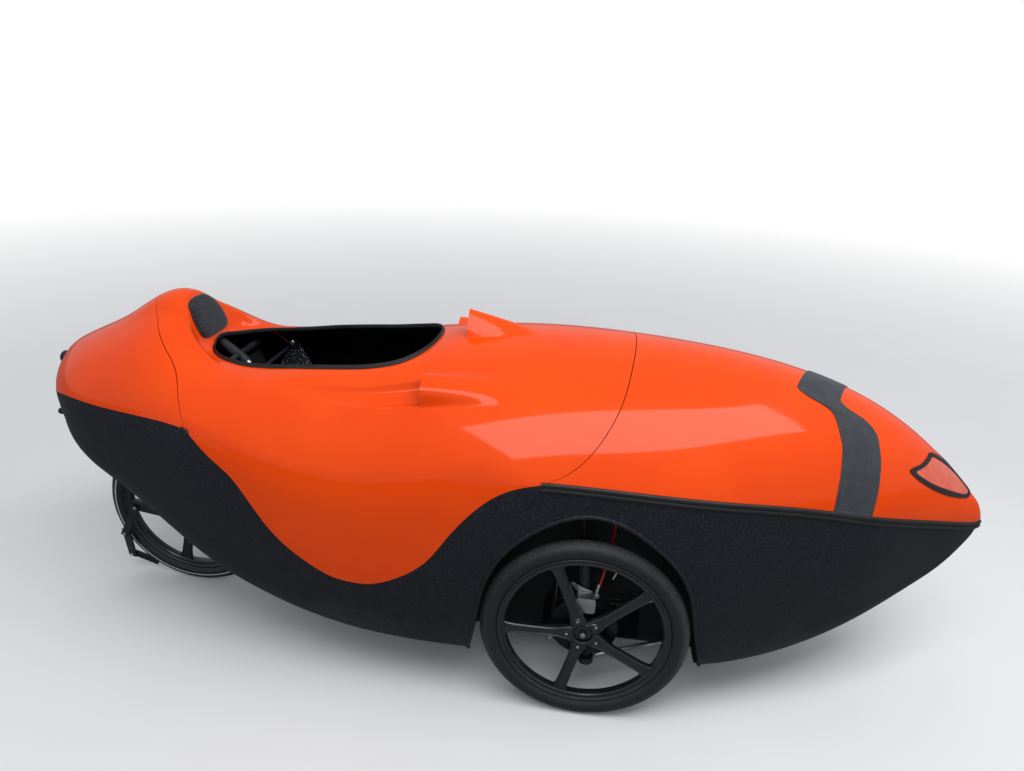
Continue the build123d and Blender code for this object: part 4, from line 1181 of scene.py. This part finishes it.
def stitch_row(name, path, out, length=3.4, gap=2.2, thick=0.55):
    """Small raised threads along a path, all in one mesh."""
    s = lengths_along(path)
    points, faces = [], []
    for start in np.arange(gap, s[-1] - length, length + gap):
        ends = [at_length(s, path, place) for place in (start, start + length / 2, start + length)]
        up = unit(at_length(s, out, start))
        side = unit(np.cross(ends[2] - ends[0], up))
        base = len(points)
        for end, height, half in zip(ends, (0.0, thick, 0.0), (0.4, 1.0, 0.4)):
            points += [end - side * thick * half, end + up * height * 1.4, end + side * thick * half]
        for k in (base, base + 3):
            faces += [(k, k + 3, k + 4, k + 1), (k + 1, k + 4, k + 5, k + 2), (k + 2, k + 5, k + 3, k)]
        faces += [(base, base + 1, base + 2), (base + 8, base + 7, base + 6)]
    return make_piece(name, metres(points), faces, "chassis", [THREAD], smooth_angle=50)


THREAD = rubber("stitch_thread", "#5A5D63", "#8E9197", (0.6, 0.8), 0.8, 0.3)
THREAD_LIFT = 2.7
# the box of stitches: its reach in t, and in share of the strap's width
BOX_T, BOX_SHARE = (0.585, 0.50), (0.12, 0.88)
box_t = np.concatenate([np.linspace(*BOX_T, 30), np.full(20, BOX_T[1]), np.linspace(*BOX_T[::-1], 30),
                        np.full(20, BOX_T[0])])
box_share = np.concatenate([np.full(30, BOX_SHARE[0]), np.linspace(*BOX_SHARE, 20), np.full(30, BOX_SHARE[1]),
                            np.linspace(*BOX_SHARE[::-1], 20)])
for side, word in SIDES:
    p, n = on_strap(side * box_t, box_share)
    stitch_row(f"strap_stitches_{word}", p + n * THREAD_LIFT, n)

# %% [markdown]
# ### Lamp windows
# A thin black gasket holds an amber-red window of acrylic on each side of the nose. The window is a
# little domed, and fine optic ribs behind it catch the light.

# %% Lamp windows
def softened(points, times=2):
    """A closed outline with its corners cut, twice finer each time."""
    points = np.array(points, float)
    for _ in range(times):
        ahead = np.roll(points, -1, 0)
        points = np.stack([points * 0.78 + ahead * 0.22, points * 0.22 + ahead * 0.78], 1).reshape(-1, 2)
    return points


# outlines in side view, x and z
LAMP = softened([(1037, 651), (1061, 638), (1100, 610), (1140, 574), (1168, 544), (1170, 536), (1158, 533),
                 (1133, 540), (1085, 558), (1037, 583), (992, 613), (968, 634), (980, 638), (1007, 638),
                 (1026, 645)])
GLASS = softened([(1042, 642), (1066, 628), (1091, 611), (1133, 576), (1162, 545), (1158, 541), (1140, 545),
                  (1103, 562), (1046, 589), (1010, 611), (984, 629), (1010, 630), (1030, 635)])


def inside_outline(x, z, outline):
    """Distance inside an outline in side view, negative outside."""
    nearest = np.full(np.shape(x), 1e9)
    inside = np.zeros(np.shape(x), bool)
    for (x0, z0), (x1, z1) in zip(outline, np.roll(outline, -1, 0)):
        run, rise = x1 - x0, z1 - z0
        share = np.clip(((x - x0) * run + (z - z0) * rise) / (run ** 2 + rise ** 2), 0, 1)
        nearest = np.minimum(nearest, np.hypot(x - x0 - share * run, z - z0 - share * rise))
        crosses = (z0 > z) != (z1 > z)
        inside ^= crosses & (x < run * (z - z0) / (rise + 1e-12) + x0)
    return np.where(inside, nearest, -nearest)


def in_gasket(x, t, p):
    return inside_outline(x, p[..., 2], LAMP)


def outside_glass(x, t, p):
    return -inside_outline(x, p[..., 2], GLASS)


def in_window(x, t, p):
    """The window reaches 1 mm under the gasket."""
    return inside_outline(x, p[..., 2], GLASS) + 1.0


def lens_plastic(name, dark, middle, pale):
    """Moulded acrylic over fine optic ribs: glossy, with a faint line every 4 mm."""
    paint = Paint(name, IOR=1.49, Coat_Weight=1.0, Coat_Roughness=0.03)
    ribs = paint.bands(4.0, "X")
    both = paint.add("Mix", None, i0=0.7, i2=ribs, i3=paint.noise(18, 2.0)).outputs[0]
    colour = paint.ramp(both, [(0.1, dark), (0.5, middle), (0.9, pale)])
    return paint.shade(colour, paint.to_range(ribs, 0, 1, 0.22, 0.12), ribs, 0.15, 0.0004)


LENS = lens_plastic("amber_acrylic", "#D8360F", "#F0542A", "#F88058")
TAIL_LENS = lens_plastic("dark_red_acrylic", "#1C0605", "#3A0D0A", "#5C1A14")
for side, word in SIDES:
    t_low, t_high = (0.002, 0.47) if side > 0 else (-0.47, -0.002)
    lamp_net = {"net_of": (960, 1175), "step": 2.2, "t_steps": 190, "t_low": t_low, "t_high": t_high}
    gasket = panel(f"lamp_gasket_{word}", [in_gasket, outside_glass], 2.0, [EDGING, EDGING], "frame_grey",
                   inset=-2.4, **lamp_net)
    window = panel(f"lamp_window_{word}", [in_window], 1.2, [LENS, LENS], "lens", inset=-1.7, **lamp_net)
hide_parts("lamp_frames")
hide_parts("lamp_lenses")

# %% [markdown]
# ## Head pad and cockpit fittings
# The pad on the head fairing is foam under a black fabric with a coarse weave. It is a closed form:
# flat behind, full in the middle, and pulled in toward its edge.

# %% Woven fabric
def woven(name, dark, pale, speck, pitch, amount):
    """Black woven cover cloth: rough, with a soft sheen and pale fibre ends that catch the light."""
    paint = Paint(name, IOR=1.45, Specular_IOR_Level=0.25, Sheen_Weight=0.25, Sheen_Roughness=0.5)
    across, along = (paint.bands(pitch, way, Distortion=2.0, Detail=1.0) for way in "YZ")
    weave = paint.maths("MULTIPLY", across, along)
    colour = paint.ramp(weave, [(0.0, dark), (0.8, pale)])
    ends = paint.to_range(paint.noise(4.5, 5.0), amount, amount + 0.10, 0.0, 0.8)
    rough = paint.to_range(weave, 0, 1, 0.9, 0.7)
    return paint.shade(paint.blend(ends, colour, speck), rough, weave, 0.6, 0.0008)


PAD_CLOTH = woven("pad_cover_cloth", "#191C22", "#2C3038", "#4C525D", 3.0, 0.56)
MESH_CLOTH = woven("speckled_spacer_fabric", "#101216", "#24272D", "#C9CDD4", 3.5, 0.57)


# %% Cushions
# share of the outline, share of the height
CUSHION_ROWS = ((0.93, -0.16), (0.985, -0.10), (1.0, 0.18), (0.992, 0.46), (0.965, 0.66), (0.92, 0.80),
                (0.84, 0.89), (0.72, 0.95), (0.55, 0.985), (0.35, 1.0), (0.16, 1.0), (0.01, 1.0))


def cushion(name, outline, place, thick, material):
    """A closed padded form. outline is (u, v) in mm, and place turns u, v and a height into points."""
    outline = softened(outline)
    centre = (outline.min(0) + outline.max(0)) / 2
    rings = []
    for share, height in CUSHION_ROWS:
        spot = centre + (outline - centre) * share
        rings.append(place(spot[:, 0], spot[:, 1], np.full(len(spot), height * thick)))
    piece = ring_mesh(name, rings, "chassis", [material], sharp=60, slot="webbing")
    return piece


def on_fairing(across, height, lift):
    """A point on the fairing's face at that height, and lift in front of it."""
    face_z, face_x = [763, 775, 799, 850, 868, 892, 930], [-730, -744, -752, -775, -788, -800, -812]
    return np.stack([np.interp(height, face_z, face_x) + 0.89 * lift, across, height + 0.46 * lift], -1)


def beside_seat(side):
    """Places of a pad on the inner wall of that side."""
    return lambda u, v, lift: np.stack([u, side * (204 - lift), v], -1)


HEAD = [(24, 877), (45, 869), (58, 852), (66, 830), (68, 808), (64, 792), (52, 783), (0, 781), (-52, 783),
        (-64, 792), (-68, 808), (-66, 830), (-58, 852), (-45, 869), (-24, 877)]
pad = cushion("head_pad_cushion", HEAD, on_fairing, 12.0, PAD_CLOTH)
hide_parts("head_pad")

# %% Side pads, bar and rod
SIDE = [(-629, 699), (-621, 708), (-611, 703), (-592, 664), (-571, 626), (-556, 588), (-563, 576),
        (-684, 576), (-692, 586), (-673, 622), (-650, 662)]
KNOB = [(0.2, 15), (5, 15), (8, 13), (9, 9), (8, 4), (5, 1), (0.2, 0)]
for side, word in SIDES:
    cushion(f"side_pad_{word}", SIDE, beside_seat(side), 11.0, MESH_CLOTH)
    turned(f"rod_knob_{word}", KNOB, (-619.0, side * 188.0, 706.0), -side, "chassis", [ALLOY], steps=40,
           slot="alloy")
bar = tube("seat_cross_bar", [(-704, -175, 716), (-704, 0, 716), (-704, 175, 716)], 9.0, "chassis",
           [STEEL_PAINT], slot="black_metal")
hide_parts("seat_bar")
tube("cross_rod", [(-633, -200, 690), (-633, 0, 690), (-633, 200, 690)], 5.0, "chassis", [STEEL_PAINT],
     slot="black_metal")
tube("foam_sleeve", [(-762, 30, 759), (-735, 30, 738), (-708, 30, 717), (-684, 30, 698)], 12.5, "chassis",
     [GRIP], sides=24, slot="rubber")
tube("sleeve_clip", [(-685, 30, 698.5), (-681, 30, 695.5), (-677, 30, 692)], 8.5, "chassis", [ALLOY],
     sides=24, slot="alloy")
finish("seat", LAMINATE)

# %% [markdown]
# ### Tail lamp, tail knob and the catch at the cover's foot
# The tail lamp is a small round lamp with a dark red lens, on the cover's rear tip. Below it a knob
# on a short lever holds the cover shut. A small rubber catch sits at the foot of the seam.

# %% Tail fittings
def rearward(name, profile, centre, body, material, slot):
    """A form turned about a line that runs backward. profile is (radius, distance back)."""
    angle = np.linspace(0, 2 * math.pi, 48, endpoint=False)
    rings = [np.stack([np.full(48, centre[0] - back), centre[1] + r * np.cos(angle),
                       centre[2] + r * np.sin(angle)], -1) for r, back in profile]
    return ring_mesh(name, rings, body, [material], sharp=32, slot=slot)


TAIL_LAMP_AT = (-1192.0, 0.0, 677.0)
SOCKET = [(15.0, -26), (18.0, -24), (18.0, -3), (17.2, -1.5), (16.0, -1.5)]
TAIL_GLASS = [(15.0, -8), (15.9, -6), (15.9, -2), (14.6, 1.6), (11.5, 4.2), (6.5, 5.8), (0.1, 6.2)]
TAIL_KNOB = [(0.1, -13), (5, -12.4), (8, -9), (9, -3), (9, 4), (8, 9), (5, 12), (0.1, 12.6)]
rearward("tail_lamp_socket", SOCKET, TAIL_LAMP_AT, "tail_lid", EDGING, "rubber")
lamp = rearward("tail_lamp_lens", TAIL_GLASS, TAIL_LAMP_AT, "tail_lid", TAIL_LENS, "lens")
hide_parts("tail_lamp")
lever = tube("tail_lever", [(-1196, 6, 562), (-1200, -8, 557), (-1198, -24, 548), (-1192, -40, 539)], 4.5,
             "chassis", [STEEL_PAINT], sides=18, slot="black_metal")
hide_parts("tail_latch")
rearward("tail_knob", TAIL_KNOB, (-1190.0, -46.0, 536.0), "chassis", GRIP, "rubber")

CATCH_X, CATCH_Z = np.array([-676.0]), np.array([650.0])
catch_t = t_at(CATCH_X, CATCH_Z, 2, 0.3, 0.62)
catch_shape = softened([(-5, -8), (5, -8), (6, 0), (4, 8), (-4, 8), (-6, 0)], 3)
for side, word in SIDES:
    spot, up = surface(CATCH_X, side * catch_t)[0], surface_normals(CATCH_X, side * catch_t)[0]
    along = unit(np.cross(up, (0.0, side, 0.0)))
    flat = catch_shape[:, :1] * along + catch_shape[:, 1:] * np.cross(up, along)
    rings = [spot + up * lift + flat * share
             for share, lift in ((0.95, 0.2), (1.0, 0.8), (1.0, 1.6), (0.86, 2.4), (0.5, 2.8), (0.02, 2.9))]
    ring_mesh(f"cover_catch_{word}", rings, "chassis", [EDGING], sharp=50, slot="rubber")

# %% [markdown]
# ### Behind the rear wheel, and inside the joint
# A hinged linkage of flat black bars hangs from the axle plate and reaches round behind the wheel. A
# strip of black tape closes the joint between the orange shell and the tub from the inside.

# %% Rear linkage and joint tape
def flat_bar(name, start, end, half, thick=3.0):
    """A flat bar with rounded edges between two points."""
    start, end = np.array(start, float), np.array(end, float)
    run = unit(end - start)
    path = [start - run * half * 0.7, start, (start + end) / 2, end, end + run * half * 0.7]
    profile = np.array([(-thick, 1 - half), (1 - thick, -half), (thick - 1, -half), (thick, 1 - half),
                        (thick, half - 1), (thick - 1, half), (1 - thick, half), (-thick, half - 1)])
    return sweep(name, path, np.tile((0.0, -1.0, 0.0), (5, 1)), profile, "chassis", [STEEL_PAINT], sharp=30,
                 slot="black_metal")


# ends and half width of each bar
LINKS = [((-893, -66, 250), (-1004, -70, 270), 12.0), ((-1004, -76, 270), (-1050, -76, 180), 10.0),
         ((-1050, -69, 180), (-1084, -14, 62), 12.0), ((-1084, -6, 62), (-1026, 8, 28), 10.5)]
LINK_BOLTS = ((-1004, -78.8, 270), (-1050, -78.8, 180), (-1082, -21, 66))
for number, (start, end, half) in enumerate(LINKS, 1):
    flat_bar(f"rear_link_{number}", start, end, half)
for number, spot in enumerate(LINK_BOLTS, 1):
    bolt(f"rear_link_bolt_{number}", spot, -1, 5.0, 3.6, "chassis")

TAPE = np.array([(-0.5, -9), (0.5, -9), (0.5, 9), (-0.5, 9)])
TAPE_DEPTH = 5.4
tape_x = np.arange(-688.0, 146.0, 9.0)
tape_t = t_at(tape_x, lower_edge(tape_x), 2, 0.2, 0.9)
for side, word in SIDES:
    path, out = surface(tape_x, side * tape_t), surface_normals(tape_x, side * tape_t)
    sweep(f"joint_tape_{word}", path - out * TAPE_DEPTH, out, TAPE, "chassis", [EDGING], sharp=30,
          slot="rubber")

# %% [markdown]
# ## Camera, floor and light
# The camera stands where the photographer stood. Its place, turn and lens come from matching the
# wheels' outlines in the photograph. A pale floor and an even sky show the object plainly.

# %% Camera
CAMERA_PLACE = (230.6, -1745.7, 1440.4)
CAMERA_YAW, CAMERA_PITCH, CAMERA_ROLL = -0.1129, 0.3948, 0.0446
PHOTO_WIDTH, FOCAL_PIXELS, SENSOR_WIDTH = 1024, 752.91, 36.0
scene = bpy.context.scene
camera = bpy.data.objects.new("camera", bpy.data.cameras.new("camera"))
scene.collection.objects.link(camera)
forward = Vector((math.sin(CAMERA_YAW) * math.cos(CAMERA_PITCH),
                  math.cos(CAMERA_YAW) * math.cos(CAMERA_PITCH), -math.sin(CAMERA_PITCH)))
level = Vector((math.cos(CAMERA_YAW), -math.sin(CAMERA_YAW), 0))
upright = level.cross(forward)
right = level * math.cos(CAMERA_ROLL) + upright * math.sin(CAMERA_ROLL)
up = upright * math.cos(CAMERA_ROLL) - level * math.sin(CAMERA_ROLL)
turn = Matrix((right, up, -forward)).transposed().to_4x4()
camera.matrix_world = Matrix.Translation(metres(CAMERA_PLACE)) @ turn
camera.data.sensor_width = SENSOR_WIDTH
camera.data.lens = FOCAL_PIXELS * SENSOR_WIDTH / PHOTO_WIDTH
scene.camera = camera

# %% Floor
def floor_material():
    """Pale matt floor. The camera sees it paler than it bounces light, so the object stays as lit."""
    paint = Paint("pale_floor", Roughness=0.9)
    pale = paint.ramp(paint.noise(500, 2.0), [(0.3, "#F2F2F2"), (0.7, "#F5F5F5")])
    seen = paint.add("LightPath").outputs["Is Camera Ray"]
    join(paint.tree, paint.blend(seen, "#8E8E8E", pale), paint.shader.inputs["Base Color"])
    far = paint.add("VectorMath", {"operation": "LENGTH"}, i0=paint.place).outputs["Value"]
    share = paint.maths("MULTIPLY", paint.to_range(far, 2.2, 7.0, 0.0, 1.0), seen)
    white = paint.add("Emission", None, Color=linear("#FFFFFF"), Strength=1.0)
    both = paint.add("MixShader", None, i0=share, i1=paint.shader.outputs[0], i2=white.outputs[0])
    join(paint.tree, both.outputs[0], paint.tree.nodes["Material Output"].inputs["Surface"])
    return paint.material


FLOOR_REACH = 60.0
floor_mesh = bpy.data.meshes.new("floor")
corners = [(x * FLOOR_REACH, y * FLOOR_REACH, 0) for x, y in ((-1, -1), (1, -1), (1, 1), (-1, 1))]
floor_mesh.from_pydata(corners, [], [(0, 1, 2, 3)])
floor_mesh.materials.append(floor_material())
floor = bpy.data.objects.new("floor", floor_mesh)
scene.collection.objects.link(floor)

# %% Sky and lamps
world = bpy.data.worlds.new("sky")
scene.world = world
world.use_nodes = True
tree = world.node_tree
light_of_sky = tree.nodes["Background"]
join(tree, linear("#E9EDF2"), light_of_sky.inputs["Color"])
join(tree, 0.60, light_of_sky.inputs["Strength"])
backdrop = add(tree, "Background", None, Color=linear("#FFFFFF"), Strength=1.0)
seen = add(tree, "LightPath").outputs["Is Camera Ray"]
choice = add(tree, "MixShader", None, i0=seen, i1=light_of_sky.outputs[0], i2=backdrop.outputs[0])
join(tree, choice.outputs[0], tree.nodes["World Output"].inputs[0])
scene.view_settings.view_transform = "Standard"


def area_lamp(name, place, target, size, power):
    lamp = bpy.data.lights.new(name, "AREA")
    lamp.shape = "RECTANGLE"
    lamp.size, lamp.size_y = size
    lamp.energy = power
    holder = bpy.data.objects.new(name, lamp)
    scene.collection.objects.link(holder)
    holder.location = place
    holder.rotation_euler = (Vector(target) - Vector(place)).to_track_quat("-Z", "Y").to_euler()


area_lamp("open_sky", (0.9, -1.3, 3.5), (0, 0, 0.5), (4.5, 1.6), 88)

# %% Sizes and finish
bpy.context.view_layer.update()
counts = sorted(((sum(len(f.vertices) - 2 for f in o.data.polygons), o.name) for o in bpy.data.objects
                 if o.type == "MESH" and not o.hide_render), reverse=True)
print("triangles:", sum(c for c, _ in counts), "most:", counts[:6])
